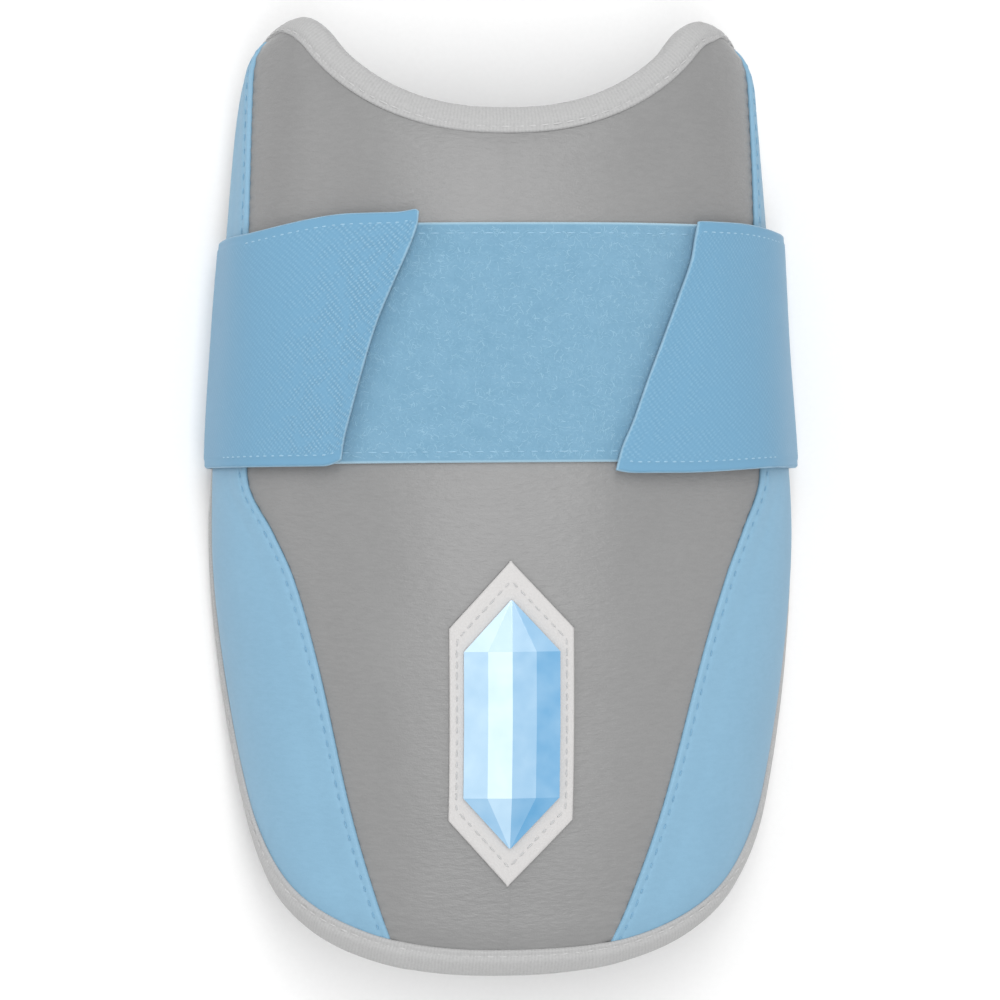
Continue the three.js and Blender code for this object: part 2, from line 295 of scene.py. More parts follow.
def section(y):
    crown = along(ARCH, "crown", y)
    half_width = along(ARCH, "half_width", y)
    spare = CROWN_RADIUS - SHOULDER_RADIUS
    alpha = np.arcsin((half_width - SHOULDER_RADIUS) / spare)
    last = np.pi / 2 - np.radians(np.maximum(along(ARCH, "lean", y), 0))
    crown_end = CROWN_RADIUS * alpha
    shoulder_end = crown_end + SHOULDER_RADIUS * (last - alpha)
    centre_z = crown - CROWN_RADIUS + spare * np.cos(alpha)
    wall = (centre_z + SHOULDER_RADIUS * np.cos(last)) / np.sin(last)
    return SimpleNamespace(
        crown=crown, alpha=alpha, last=last, crown_end=crown_end, shoulder_end=shoulder_end,
        centre_x=spare * np.sin(alpha), centre_z=centre_z, floor=shoulder_end + wall,
    )


def bend(u, y, lift):
    """Points of the flat pattern, in millimetres, bent over the arch, in metres."""
    u, y, lift = np.broadcast_arrays(np.asarray(u, float), y, lift)
    arch = section(y)
    run = np.abs(u)
    on_shoulder = run > arch.crown_end
    past = np.minimum(arch.alpha + (run - arch.crown_end) / SHOULDER_RADIUS, arch.last)
    turn = np.where(on_shoulder, past, run / CROWN_RADIUS)
    wall = np.maximum(run - arch.shoulder_end, 0)
    shoulder_x = arch.centre_x + SHOULDER_RADIUS * np.sin(turn) + wall * np.cos(arch.last)
    shoulder_z = arch.centre_z + SHOULDER_RADIUS * np.cos(turn) - wall * np.sin(arch.last)
    x = np.where(on_shoulder, shoulder_x, CROWN_RADIUS * np.sin(turn))
    z = np.where(on_shoulder, shoulder_z, arch.crown - CROWN_RADIUS * (1 - np.cos(turn)))
    off = lift - PLATE_PRESS * np.clip(1 - (u / PLATE_HALF) ** 2, 0, 1) ** 2
    side = by_side(u, -1.0, 1.0)
    x = side * (x + off * np.sin(turn)) + along(ARCH, "sway", y)
    return np.stack([x, y, z + off * np.cos(turn)], axis=-1) * MM


print("crown height in the middle:", round(float(bend(0, 0, 0)[2]) / MM, 1), "mm")

# %% [markdown]
# ## The outline
# In the flat the pad is a shield: a round lower end, straight sides, and two horns beside a scoop for
# the arm. Distances to this line say where the cover rolls in under the tape, so it is kept as a dense
# chain of points in a search tree. The two seams differ a little from left to right, as hand-guided
# sewing does.

# %% The outline and the pattern's lines
TIP_Y = -115.4
LOWER_SIDE_Y = -20
TIP_POWER = 2.38
UPPER_SIDE_Y = 72
SCOOP_Y = 91.2
HORN_Y = 115.3
HORN_DROP = 1.2
HORN_DROP_SPAN = 0.1, 0.5
HORN_LEFT, HORN_RIGHT = 0.55, 0.535
SCOOP_POWER = 2.4
HORN_POWER = 3.0
HORN_ROUND = 5
SIDE_CLEARANCE = 2.35
STRAP_ROOM = 4.2
STRAP_ROOM_SPAN = -16, 16
SWEEP = 1500
SIDES = 400
EDGE_STATIONS = 6000
EDGE_START_Y = 35
HALVINGS = 40
PAST_END = 1
SEAM = {
    "y": [-122, -107, -78, -40, -20, -9, 4, 67, 118],
    "left": [23.5, 29.9, 40.4, 49.7, 55.7, 61.3, 69.2, 69.5, 71.2],
    "right": [20.7, 27.2, 36.9, 47.8, 55.1, 60.4, 66.9, 70.3, 72.6],
}


def reach(y):
    return section(y).floor - SIDE_CLEARANCE - STRAP_ROOM * smooth(y, *STRAP_ROOM_SPAN)


def lower_end(q):
    share = np.minimum(np.abs(q), 1) ** TIP_POWER
    return LOWER_SIDE_Y - (LOWER_SIDE_Y - TIP_Y) * (1 - share) ** (1 / TIP_POWER)


def upper_end(q):
    share = np.abs(q)
    horn = HORN_Y - HORN_DROP * smooth(q, *HORN_DROP_SPAN)
    peak = by_side(q, HORN_LEFT, HORN_RIGHT)
    scoop = SCOOP_Y + (horn - SCOOP_Y) * (share / peak) ** SCOOP_POWER
    past = np.clip((share - peak) / (1 - peak), 0, 1)
    corner = UPPER_SIDE_Y + (horn - UPPER_SIDE_Y) * (1 - past**HORN_POWER) ** (1 / HORN_POWER)
    blend = np.clip(0.5 + (corner - scoop) / (2 * HORN_ROUND), 0, 1)
    return mix(corner, scoop, blend) - HORN_ROUND * blend * (1 - blend)


def chain_run(steps):
    """How far along a chain each of its points is, from the lengths of its steps."""
    return np.concatenate([[0], np.cumsum(steps)])


def outline(stations):
    """The pad's edge in the flat, anticlockwise from under the strap's left side, evenly spaced."""
    sweep = np.sin((np.linspace(0, 1, SWEEP, endpoint=False) - 0.5) * np.pi)
    first = np.linspace(EDGE_START_Y, LOWER_SIDE_Y, SIDES, endpoint=False)
    rise = np.linspace(LOWER_SIDE_Y, UPPER_SIDE_Y, SIDES, endpoint=False)
    last = np.linspace(UPPER_SIDE_Y, EDGE_START_Y, SIDES, endpoint=False)
    y = np.concatenate([first, lower_end(sweep), rise, upper_end(-sweep), last])
    q = np.concatenate([-np.ones(SIDES), sweep, np.ones(SIDES), -sweep, -np.ones(SIDES)])
    u = q * reach(y)
    u, y = np.append(u, u[0]), np.append(y, y[0])
    run = chain_run(np.hypot(np.diff(u), np.diff(y)))
    at = np.linspace(0, run[-1], stations, endpoint=False)
    return SimpleNamespace(u=np.interp(at, run, u), y=np.interp(at, run, y), run=at, length=run[-1])


def edge_normals(line):
    """Unit directions into the pad at each station of an outline."""
    du = np.roll(line.u, -1) - np.roll(line.u, 1)
    dy = np.roll(line.y, -1) - np.roll(line.y, 1)
    size = np.hypot(du, dy)
    return -dy / size, du / size


EDGE = outline(EDGE_STATIONS)
EDGE_IN_U, EDGE_IN_Y = edge_normals(EDGE)
EDGE_TREE = kdtree.KDTree(EDGE_STATIONS)
for index in range(EDGE_STATIONS):
    EDGE_TREE.insert((EDGE.u[index], EDGE.y[index], 0), index)
EDGE_TREE.balance()


def edge_place(u, y):
    """How far points of the pattern are from its edge, and the directions from there into the pad."""
    found = [EDGE_TREE.find((a, b, 0))[1:] for a, b in zip(u, y)]
    station = np.array([item[0] for item in found])
    return np.array([item[1] for item in found]), EDGE_IN_U[station], EDGE_IN_Y[station]


def along_side(table, side, y):
    return by_side(side, along(table, "left", y), along(table, "right", y))


def seam(y, side):
    return along_side(SEAM, side, y)


def meet_end(line, end, inside, outside, count):
    """Where lines of the pattern, u = line(y), meet the lower or the upper end of the pad."""
    near = np.full(count, float(inside))
    far = np.full(count, float(outside))
    direction = np.sign(outside - inside)
    for _ in range(HALVINGS):
        y = (near + far) / 2
        still_inside = (end(line(y) / reach(y)) - y) * direction > 0
        near = np.where(still_inside, y, near)
        far = np.where(still_inside, far, y)
    return near


def line_ends(line, count):
    low = meet_end(line, lower_end, LOWER_SIDE_Y, TIP_Y - PAST_END, count)
    high = meet_end(line, upper_end, UPPER_SIDE_Y, HORN_Y + PAST_END, count)
    return low, high


print("edge length:", round(EDGE.length), "mm")

# %% [markdown]
# ## The curled edge
# A padded sheet that is bent round an arm curls inwards at its long edges and at the outer corners of
# the horns, so the tape there is behind the cover and hardly shows from the front. The curl is one more
# bend of the flat pattern: near the edge a point goes round a small arc before the whole is bent over
# the arch.

# %% The curl
CURL_RADIUS = 11
CURL_TURN = math.radians(40)
CURL_LENGTH = CURL_RADIUS * CURL_TURN
CURL_SHARE_SPAN = 0.45, 0.8
CURL_Y_SPAN = -18, 4


def curl_share(u, y):
    """How much of the curl there is: all on the sides and the horns' corners, none at the two ends."""
    return smooth(np.abs(u) / reach(y), *CURL_SHARE_SPAN) * smooth(y, *CURL_Y_SPAN)


def over_pad(u, y, lift, edge):
    """Points at a lift off the cover, in metres; edge is their place from the pad's edge."""
    depth, in_u, in_y = edge
    start = CURL_LENGTH * curl_share(u, y)
    turn = np.maximum(start - depth, 0) / CURL_RADIUS
    curled = start - (CURL_RADIUS + lift) * np.sin(turn)
    shift = np.where(turn > 0, curled - depth, 0)
    return bend(u + in_u * shift, y + in_y * shift, (CURL_RADIUS + lift) * np.cos(turn) - CURL_RADIUS)


print("curl:", round(CURL_LENGTH, 1), "mm of the edge")

# %% [markdown]
# ## A closed sheet
# Most pieces are sheets: cloth, tape, elastic. A flat grid is made, extruded once so that it has a second
# face and a rim, and then every point of both faces is sent to its place. The grid's rows and columns
# ride along as tags, and each point keeps its spot on the flat cut, which the finishes read. The tags
# also give the points one fixed order, because a cloth run ends a little differently in another order.

# %% Sheets and pieces
def spread(start, *stretches):
    """Stops along a length; each stretch gives its end and its number of steps."""
    found = [start]
    for end, steps in stretches:
        found.extend(np.linspace(found[-1], end, steps + 1)[1:])
    return np.array(found)


def lay_out(bm, flat_tag, points, flat):
    """Sends every vertex to its point, in metres, and keeps its flat spot, given in millimetres."""
    for vert, point, spot in zip(bm.verts, points.tolist(), (flat * MM).tolist()):
        vert.co = point
        vert[flat_tag] = spot


def put_in_order(bm, key):
    """Sorts the points, edges and faces, so that every run of the lesson makes the same list of them."""
    bm.verts.sort(key=key)
    bm.verts.index_update()
    for parts in (bm.edges, bm.faces):
        spans = [sorted(vert.index for vert in part.verts) for part in parts]
        parts.index_update()
        parts.sort(key=lambda part: spans[part.index][0] * len(bm.verts) + spans[part.index][-1])
        parts.index_update()


def slab(columns, rows, place):
    """A closed sheet; place(column, row, top) gives the points and their flat spots."""
    bm = bmesh.new()
    column_tag = bm.verts.layers.int.new("column")
    row_tag = bm.verts.layers.int.new("row")
    top_tag = bm.verts.layers.int.new("top")
    flat_tag = bm.verts.layers.float_vector.new("flat")
    bmesh.ops.create_grid(bm, x_segments=columns, y_segments=rows, size=1.0)
    for vert in bm.verts:
        vert[column_tag] = round((vert.co.x + 1) / 2 * columns)
        vert[row_tag] = round((vert.co.y + 1) / 2 * rows)
    raised = bmesh.ops.extrude_face_region(bm, geom=bm.faces[:])["geom"]
    for part in raised:
        if isinstance(part, bmesh.types.BMVert):
            part[top_tag] = 1
    put_in_order(bm, lambda v: (v[top_tag] * (rows + 1) + v[row_tag]) * (columns + 1) + v[column_tag])
    tags = np.array([(v[column_tag], v[row_tag], v[top_tag]) for v in bm.verts])
    lay_out(bm, flat_tag, *place(tags[:, 0], tags[:, 1], tags[:, 2] == 1))
    bmesh.ops.recalc_face_normals(bm, faces=bm.faces[:])
    return bm


def add_piece(name, bm, finish, node=None, smooth_shade=True):
    """Puts a finished bmesh into the scene, on the guard's one body."""
    open_edges = sum(1 for edge in bm.edges if len(edge.link_faces) != 2)
    mesh = bpy.data.meshes.new(name)
    bm.to_mesh(mesh)
    bm.free()
    for spare in ("column", "row", "top"):
        if spare in mesh.attributes:
            mesh.attributes.remove(mesh.attributes[spare])
    mesh.materials.append(finish.material)
    mesh.polygons.foreach_set("use_smooth", [smooth_shade] * len(mesh.polygons))
    made = bpy.data.objects.new(name, mesh)
    scene.collection.objects.link(made)
    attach(made, "root")
    if node:
        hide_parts(node)
    triangles = sum(len(face.vertices) - 2 for face in mesh.polygons)
    print(name, triangles, "triangles,", open_edges, "open edges")
    return made

# %% [markdown]
# ## Foam pad
# The pad is one moulded sheet of foam, about 8 mm thick and pinched thinner at its edge, where the tape
# grips it. Its hollow side, which lies on the arm, has a fine knit face. It lies under the three cover
# panels, so it follows the same lines from the lower end of the pattern to the upper one.

# %% Foam pad
GAP = 0.4
FOAM_GAP = 0.9
COVER = 1.2
FOAM = 8.4
EDGE_SINK = 2.5
EDGE_PINCH = 4
EDGE_ROLL = 12
FOAM_COLUMNS, FOAM_ROWS = 96, 120
CROWDING = 0.7


def fade(distance, length):
    """1 at the start, running out smoothly to 0 at a length."""
    return np.clip(1 - distance / length, 0, 1) ** 2


def edge_roll(distance):
    return fade(distance, EDGE_ROLL)


def cover_face(distance):
    return -EDGE_SINK * edge_roll(distance)


def inner_face(distance):
    return -(COVER + FOAM_GAP + FOAM) + EDGE_PINCH * edge_roll(distance)


def crowd(stops):
    """Stops from 0 to 1 that crowd together at both ends, where the edge rolls."""
    return mix(stops, (1 - np.cos(np.pi * stops)) / 2, CROWDING)


def foam_point(column, row, top):
    q = np.sin(np.linspace(-1, 1, FOAM_COLUMNS + 1) * np.pi / 2)[column]
    y = mix(lower_end(q), upper_end(q), crowd(np.linspace(0, 1, FOAM_ROWS + 1))[row])
    u = q * reach(y)
    edge = edge_place(u, y)
    lift = np.where(top, cover_face(edge[0]) - COVER - FOAM_GAP, inner_face(edge[0]))
    return over_pad(u, y, lift, edge), np.stack([u, y, edge[0]], axis=-1)


KNIT_PITCH = 1.4 * MM
KNIT_DARK, KNIT_LIGHT = rgb(0.2, 0.205, 0.21), rgb(0.33, 0.335, 0.34)
knit = Finish("foam_knit", Roughness=0.9, Sheen_Weight=0.25, Sheen_Roughness=0.5)
knit_spot = knit.flat()
knit_rib = knit.wave(knit.axis(knit_spot, "X") / KNIT_PITCH)
knit_row = knit.wave(knit.axis(knit_spot, "Y") / KNIT_PITCH + knit_rib * 0.22)
knit_cloud = knit.noise(knit_spot, 90.0, 4.0)
knit_loop = knit_row * 0.3 + knit_rib * 0.2 + 0.5
knit.colour(knit.blend(knit_loop * 0.6 + knit_cloud * 0.4, KNIT_DARK, KNIT_LIGHT))
knit.relief((knit_loop, 0.35 * MM))
foam_pad = add_piece("foam_pad", slab(FOAM_COLUMNS, FOAM_ROWS, foam_point), knit, "pad_core")

# %% [markdown]
# ## Foam that pushes back
# Between its sewn edges the foam swells a little, as a cushion does. It is run as cloth with pressure
# inside and its edge held, and the result is kept as the mesh. The moves are capped, so that the pad
# stays under its tight cover on the front and only the face on the arm becomes visibly fuller.

# %% Foam under pressure
FOAM_PRESSURE = 4.0
FOAM_FRAMES = 20
FOAM_HELD = EDGE_ROLL + 1
SWELL_OUT, SWELL_IN = 0.35, 1.3


def mesh_points(mesh):
    points = np.empty(len(mesh.vertices) * 3)
    mesh.vertices.foreach_get("co", points)
    return points.reshape(-1, 3)


def under_pressure(piece, held_points):
    """Where the points of a closed piece go when it is blown up like a cushion."""
    held = piece.vertex_groups.new(name="held")
    held.add(held_points, 1.0, "REPLACE")
    blown = piece.modifiers.new("pressure", "CLOTH")
    blown.settings.use_pressure = True
    blown.settings.uniform_pressure_force = FOAM_PRESSURE
    blown.settings.vertex_group_mass = "held"
    blown.settings.effector_weights.gravity = 0
    blown.point_cache.frame_start = 1
    blown.point_cache.frame_end = FOAM_FRAMES
    for step in range(1, FOAM_FRAMES + 1):
        scene.frame_set(step)
    shown = piece.evaluated_get(bpy.context.evaluated_depsgraph_get())
    points = mesh_points(shown.to_mesh())
    shown.to_mesh_clear()
    piece.modifiers.remove(blown)
    piece.vertex_groups.remove(held)
    scene.frame_set(1)
    return points


foam_start = mesh_points(foam_pad.data)
foam_spots = np.array([spot.vector[:] for spot in foam_pad.data.attributes["flat"].data]) / MM
moves = under_pressure(foam_pad, np.flatnonzero(foam_spots[:, 2] < FOAM_HELD).tolist()) - foam_start
outward = bend(foam_spots[:, 0], foam_spots[:, 1], 1) - bend(foam_spots[:, 0], foam_spots[:, 1], 0)
under_cover = np.array([vert.normal[:] for vert in foam_pad.data.vertices]) * outward
cap = np.where(under_cover.sum(axis=1) > 0, SWELL_OUT, SWELL_IN)[:, None] * MM
size = np.linalg.norm(moves, axis=1)[:, None]
kept = moves * cap / np.sqrt(cap**2 + size**2)
foam_pad.data.vertices.foreach_set("co", (foam_start + kept).ravel())
foam_pad.data.update()
moved, stayed = [round(float(np.abs(part).max()) / MM, 2) for part in (size, kept)]
print("foam moved by up to", moved, "mm, kept", stayed)

# %% [markdown]
# ## Front cover
# The grey front is a coated cloth, smooth to the hand, with a fine grain that runs across the arm. It
# is cut as one shield between the two seams and lies tight on the foam. Slow noise lifts it by a hair's
# breadth, so that it isn't as even as a machined part, and the seams pucker it slightly at every
# stitch.

# %% Coated cloth and the front cover
FRONT_COLUMNS, FRONT_ROWS = 124, 200
SEAM_PITCH = 3.3
PUCKER = 0.12
PUCKER_REACH = 4.5
SWELL = 0.16
SWELL_SIZE = 24
FRONT_SEED = 1.5
SEAM_SAMPLES = 2000
SEAM_DENSE = np.linspace(SEAM["y"][0], SEAM["y"][-1], SEAM_SAMPLES)
SEAM_RUN = chain_run(np.hypot(np.diff(seam(SEAM_DENSE, 1)), np.diff(SEAM_DENSE)))


def seam_run(y):
    return np.interp(y, SEAM_DENSE, SEAM_RUN)


def bell(offset, half):
    """1 at no offset, falling away on both sides."""
    return np.exp(-((offset / half) ** 2))


def swell(u, y, size, seed):
    """Slow noise between -1 and 1 over the flat cut."""
    return np.array([noise.noise((a / size, b / size, seed)) for a, b in zip(u, y)])


FRONT_SHARES = np.linspace(-1, 1, FRONT_COLUMNS + 1)
FRONT_LOW, FRONT_HIGH = line_ends(lambda y: FRONT_SHARES * seam(y, FRONT_SHARES), FRONT_COLUMNS + 1)
FRONT_STOPS = crowd(np.linspace(0, 1, FRONT_ROWS + 1))


def front_point(column, row, top):
    share = FRONT_SHARES[column]
    y = mix(FRONT_LOW[column], FRONT_HIGH[column], FRONT_STOPS[row])
    u = share * (seam(y, share) - GAP / 2)
    edge = edge_place(u, y)
    to_seam = seam(y, share) - np.abs(u)
    pucker = np.cos(seam_run(y) / SEAM_PITCH * math.tau) * bell(to_seam, PUCKER_REACH)
    lift = cover_face(edge[0]) + SWELL * swell(u, y, SWELL_SIZE, FRONT_SEED) + PUCKER * pucker
    lift = lift - np.where(top, 0, COVER)
    return over_pad(u, y, lift, edge), np.stack([u, y, to_seam], axis=-1)


def coated_cloth(name, dark, light, grain, rough, gloss):
    """A smooth coated cloth with a fine grain across the arm."""
    cloth = Finish(name, Specular_IOR_Level=gloss)
    spot = cloth.flat()
    crease = cloth.noise(spot, 260.0, 3.0, 0.6, skew=(1.0, 4.2, 1.0))
    pebble = cloth.noise(spot, 2300.0, 2.0, 0.6)
    cloud = cloth.noise(spot, 45.0, 3.0, 0.5)
    tone = crease * 0.4 + pebble * 0.3 + cloud * 0.3
    cloth.colour(cloth.blend(cloth.ramp(tone, 0.35, 0.65), dark, light))
    cloth.roughness(rough + (pebble - 0.5) * 0.12)
    cloth.relief((crease, grain * 0.17 * MM), (pebble, grain * 0.04 * MM))
    return cloth


GREY_DARK, GREY_LIGHT = rgb(0.234, 0.234, 0.234), rgb(0.255, 0.255, 0.255)
grey_cloth = coated_cloth("coated_grey", GREY_DARK, GREY_LIGHT, 1.0, 0.32, 0.3)
front_bm = slab(FRONT_COLUMNS, FRONT_ROWS, front_point)
front_cover = add_piece("front_cover", front_bm, grey_cloth, "front_panel")

# %% [markdown]
# ## Side covers
# The blue sides are folded under along the seam and topstitched over the grey front, so their edge is a
# soft raised roll with a groove beside it, where the thread pulls the cloth down. Columns of the grid
# are close together near the fold, where that relief is, and far apart on the plain wall.

# %% Side covers
SIDE_COLUMNS, SIDE_ROWS = 76, 220
SIDE_GROWTH = 1.037
SIDE_CLOTH = 0.8
FOLD_LAP = 1.2
FOLD_RISE = 1.05
FOLD_ROUND = 0.7
FOLD_DROP = 0.55
FOLD_SETTLED = 0.3
FOLD_ROLL_TO, FOLD_FLAT_FROM = 9, 30
FOLD_PRESSED = 0.6
FOLD_PRESSED_SPAN = 4, 11
STITCH_IN = 1.9
GROOVE = 0.17
GROOVE_HALF = 0.5
GROOVE_PULSE = 0.25
SIDE_SEED = 4.5
SIDE_SWELL_SPAN = 3, 12
SIDE_SHARES = (SIDE_GROWTH ** np.arange(SIDE_COLUMNS + 1) - 1) / (SIDE_GROWTH**SIDE_COLUMNS - 1)


def fold_height(depth, distance):
    """How high the folded edge rolls, from the fold inwards; near the edge the tape presses it."""
    rolled = mix(FOLD_SETTLED, 1, 1 - smooth(depth, STITCH_IN, FOLD_ROLL_TO))
    roll = FOLD_RISE * rolled * (1 - smooth(depth, FOLD_ROLL_TO, FOLD_FLAT_FROM))
    return roll * mix(FOLD_PRESSED, 1, smooth(distance, *FOLD_PRESSED_SPAN))


def thread_pull(run, pitch, pulse):
    """How hard the thread pulls the cloth down, which changes by a pulse from stitch to hole."""
    return 1 - pulse + pulse * np.cos(run / pitch * math.tau)


def fold_relief(depth, run, distance):
    """Height of the folded edge over the cover, with its rounded rim and the groove of the stitches."""
    roll = fold_height(depth, distance)
    edge = -FOLD_DROP * fade(depth, FOLD_ROUND)
    groove = GROOVE * thread_pull(run, SEAM_PITCH, GROOVE_PULSE) * bell(depth - STITCH_IN, GROOVE_HALF)
    return roll + edge - groove


def side_cover(name, node, side, finish):
    shares = SIDE_SHARES if side > 0 else SIDE_SHARES[::-1]

    def run_at(y, share):
        return mix(seam(y, side) - FOLD_LAP, reach(y), share)

    low, high = line_ends(lambda y: run_at(y, shares), SIDE_COLUMNS + 1)

    def place(column, row, top):
        y = mix(low[column], high[column], crowd(np.linspace(0, 1, SIDE_ROWS + 1))[row])
        run = run_at(y, shares[column])
        depth = run - seam(y, side) + FOLD_LAP
        edge = edge_place(side * run, y)
        lift = cover_face(edge[0]) + fold_relief(depth, seam_run(y), edge[0])
        waves = SWELL * swell(side * run, y, SWELL_SIZE, SIDE_SEED)
        lift = lift + waves * smooth(depth, *SIDE_SWELL_SPAN)
        lift = lift - np.where(top, 0, SIDE_CLOTH)
        return over_pad(side * run, y, lift, edge), np.stack([side * run, y, depth], axis=-1)

    return add_piece(name, slab(SIDE_COLUMNS, SIDE_ROWS, place), finish, node)


BLUE_DARK, BLUE_LIGHT = rgb(0.21, 0.383, 0.525), rgb(0.228, 0.412, 0.56)
blue_cloth = coated_cloth("coated_blue", BLUE_DARK, BLUE_LIGHT, 0.35, 0.55, 0.35)
side_left = side_cover("side_cover_left", "side_panel_left", -1, blue_cloth)
side_right = side_cover("side_cover_right", "side_panel_right", 1, blue_cloth)

# %% [markdown]
# ## Edge tape
# A light grey ribbed tape is folded over the whole edge and sewn through. Its section is drawn once, as
# the way round the outside of the fold and back along the inside, and is carried round the outline. The
# grid meets itself both ways, so its doubled points are merged into one closed ring.

# %% Edge tape
TAPE = 0.8
TAPE_REACH = 7.0
TAPE_REACH_SCOOP = 5.4
TAPE_REACH_LOWER = [5.7, 4.8]
TAPE_REACH_HORN = 1.8
SCOOP_Y_SPAN = 60, 95
LOWER_Y_SPAN, LOWER_U_SPAN = (86, 102), (5, 40)
HORN_Y_SPAN, HORN_SHARE_SPAN = (66, 88), (0.56, 0.7)
FOLD_UNDER_SPAN, FOLD_UNDER_Y_SPAN = (-2.5, 0.3), (60, 80)
TAPE_HEM_GAP = -0.08
TAPE_HEM_SPAN = 0, 3
TAPE_HEM_DROP, TAPE_HEM_ROUND = 0.5, 0.8
TAPE_SLACK = 0.4
TAPE_BULGE = 0.45
TAPE_WEB = 6.0
TAPE_STATIONS = 840
TAPE_BACK_SHIFT = 20
TAPE_STITCH_IN = 1.6
TAPE_STITCH_SHARE = 0.28
TAPE_STITCH_PITCH = EDGE.length / round(EDGE.length / 3.1)
TAPE_GROOVE = 0.5
TAPE_GROOVE_HALF = 0.75
TAPE_GROOVE_PULSE = 0.3
MERGE = 0.001 * MM
LEG_STOPS = spread(0, (0.05, 1), (0.12, 2), (0.32, 5), (1, 7))
WEB_TURNS = np.linspace(0, np.pi, 10)[1:-1]


def tape_half(outside):
    """One side of the tape: share inwards, place between the faces, and whether it is outside."""
    leg = [(1 - t, 0.0) for t in LEG_STOPS]
    web = [(-math.sin(turn), (1 - math.cos(turn)) / 2) for turn in WEB_TURNS]
    back = [(t, 1.0) for t in 1 - LEG_STOPS[::-1]]
    return [(inwards, between, outside) for inwards, between in leg + web + back]


TAPE_SECTION = np.array(tape_half(1) + tape_half(0)[::-1])


def tape_reach(u, y, between):
    """How far the tape laps in from the edge; past the horns' peaks its front side is pulled back."""
    lap = mix(TAPE_REACH, TAPE_REACH_SCOOP, smooth(y, *SCOOP_Y_SPAN))
    lower = mix(*TAPE_REACH_LOWER, smooth(u, *LOWER_U_SPAN))
    lap = mix(lap, lower, smooth(-y, *LOWER_Y_SPAN) * (1 - between))
    corner = smooth(np.abs(u) / reach(y), *HORN_SHARE_SPAN) * smooth(y, *HORN_Y_SPAN)
    return mix(lap, TAPE_REACH_HORN, corner * (1 - between))


def tape_stitch_in(width):
    return np.minimum(TAPE_STITCH_IN, TAPE_STITCH_SHARE * width)


def fold_under(u, y, distance):
    """How far the folded edge of a side cover lifts the tape that crosses it at the lower end."""
    depth = np.abs(u) - seam(y, u) + FOLD_LAP
    crossed = smooth(depth, *FOLD_UNDER_SPAN) * smooth(-y, *FOLD_UNDER_Y_SPAN)
    return fold_height(np.maximum(depth, 0), distance) * crossed


def tape_lift(depth, between, outside, run, width, fold):
    """Height of the tape off the arch: over the cover, round the edge and under the foam."""
    inside = np.maximum(depth, 0)
    from_hem = width - inside
    arc = np.sin(np.pi * np.clip(inside / width, 0, 1))
    pull = thread_pull(run, TAPE_STITCH_PITCH, TAPE_GROOVE_PULSE)
    groove = TAPE_GROOVE * pull * bell(from_hem - tape_stitch_in(width), TAPE_GROOVE_HALF)
    gap = mix(TAPE_HEM_GAP, GAP, smooth(from_hem, *TAPE_HEM_SPAN))
    body = gap + TAPE * outside + TAPE_BULGE * arc - groove
    hem = -TAPE_HEM_DROP * outside * fade(from_hem, TAPE_HEM_ROUND)
    over = cover_face(inside) + fold + body + hem
    under = inner_face(inside) - TAPE_SLACK - body - hem
    return mix(over, under, between)


def ring(columns, rows, place):
    """A closed ring: a grid whose first and last columns, and rows, are the same points."""
    bm = bmesh.new()
    flat_tag = bm.verts.layers.float_vector.new("flat")
    bmesh.ops.create_grid(bm, x_segments=columns, y_segments=rows, size=1.0)
    tags = np.array([((v.co.x + 1) / 2 * columns, (v.co.y + 1) / 2 * rows) for v in bm.verts])
    tags = np.rint(tags).astype(int)
    lay_out(bm, flat_tag, *place(tags[:, 0] % columns, tags[:, 1] % rows))
    bmesh.ops.remove_doubles(bm, verts=bm.verts[:], dist=MERGE)
    bmesh.ops.recalc_face_normals(bm, faces=bm.faces[:])
    return bm


TAPE_LINE = outline(TAPE_STATIONS)
TAPE_IN_U, TAPE_IN_Y = edge_normals(TAPE_LINE)


def tape_point(station, corner):
    inwards, between, outside = TAPE_SECTION[corner].T
    run = TAPE_LINE.run[station]
    width = tape_reach(TAPE_LINE.u[station], TAPE_LINE.y[station], between)
    web = GAP + TAPE_SLACK + TAPE * outside
    depth = np.where(inwards > 0, inwards * width, inwards * web)
    in_u, in_y = TAPE_IN_U[station], TAPE_IN_Y[station]
    u = TAPE_LINE.u[station] + in_u * depth
    y = TAPE_LINE.y[station] + in_y * depth
    fold = fold_under(u, y, np.maximum(depth, 0))
    lift = tape_lift(depth, between, outside, run, width, fold)
    places = over_pad(u, y, lift, (depth, in_u, in_y))
    return places, np.stack([run, depth + TAPE_BACK_SHIFT * between, width - depth], axis=-1)


RIB_PITCH = 0.85 * MM
tape_cloth = Finish("ribbed_tape", Roughness=0.8, Sheen_Weight=0.15)
tape_spot = tape_cloth.flat()
tape_wobble = tape_cloth.noise(tape_spot, 260.0, 2.0)
tape_rib = tape_cloth.wave(tape_cloth.axis(tape_spot, "X") / RIB_PITCH + tape_wobble * 0.8)
tape_fleck = tape_cloth.noise(tape_spot, 1700.0, 3.0, 0.65)
tape_height = tape_rib * 0.1 + tape_fleck * 0.9 + 0.05
tape_cloth.colour(tape_cloth.blend(tape_height, rgb(0.337, 0.337, 0.337), rgb(0.482, 0.482, 0.482)))
tape_cloth.relief((tape_height, 0.14 * MM))
tape_bm = ring(TAPE_STATIONS, len(TAPE_SECTION), tape_point)
edge_tape = add_piece("edge_tape", tape_bm, tape_cloth, "edge_binding")

# %% [markdown]
# ## Fastening patch
# The strap's hooks grip a patch of fuzzy loops sewn across the front. The patch is a thin woven sheet
# with a worn, uneven nap. A few thousand real loops of thread stand on the part that shows, because at
# this scale a bump alone looks printed. Each loop is a triangle spun through half a turn.

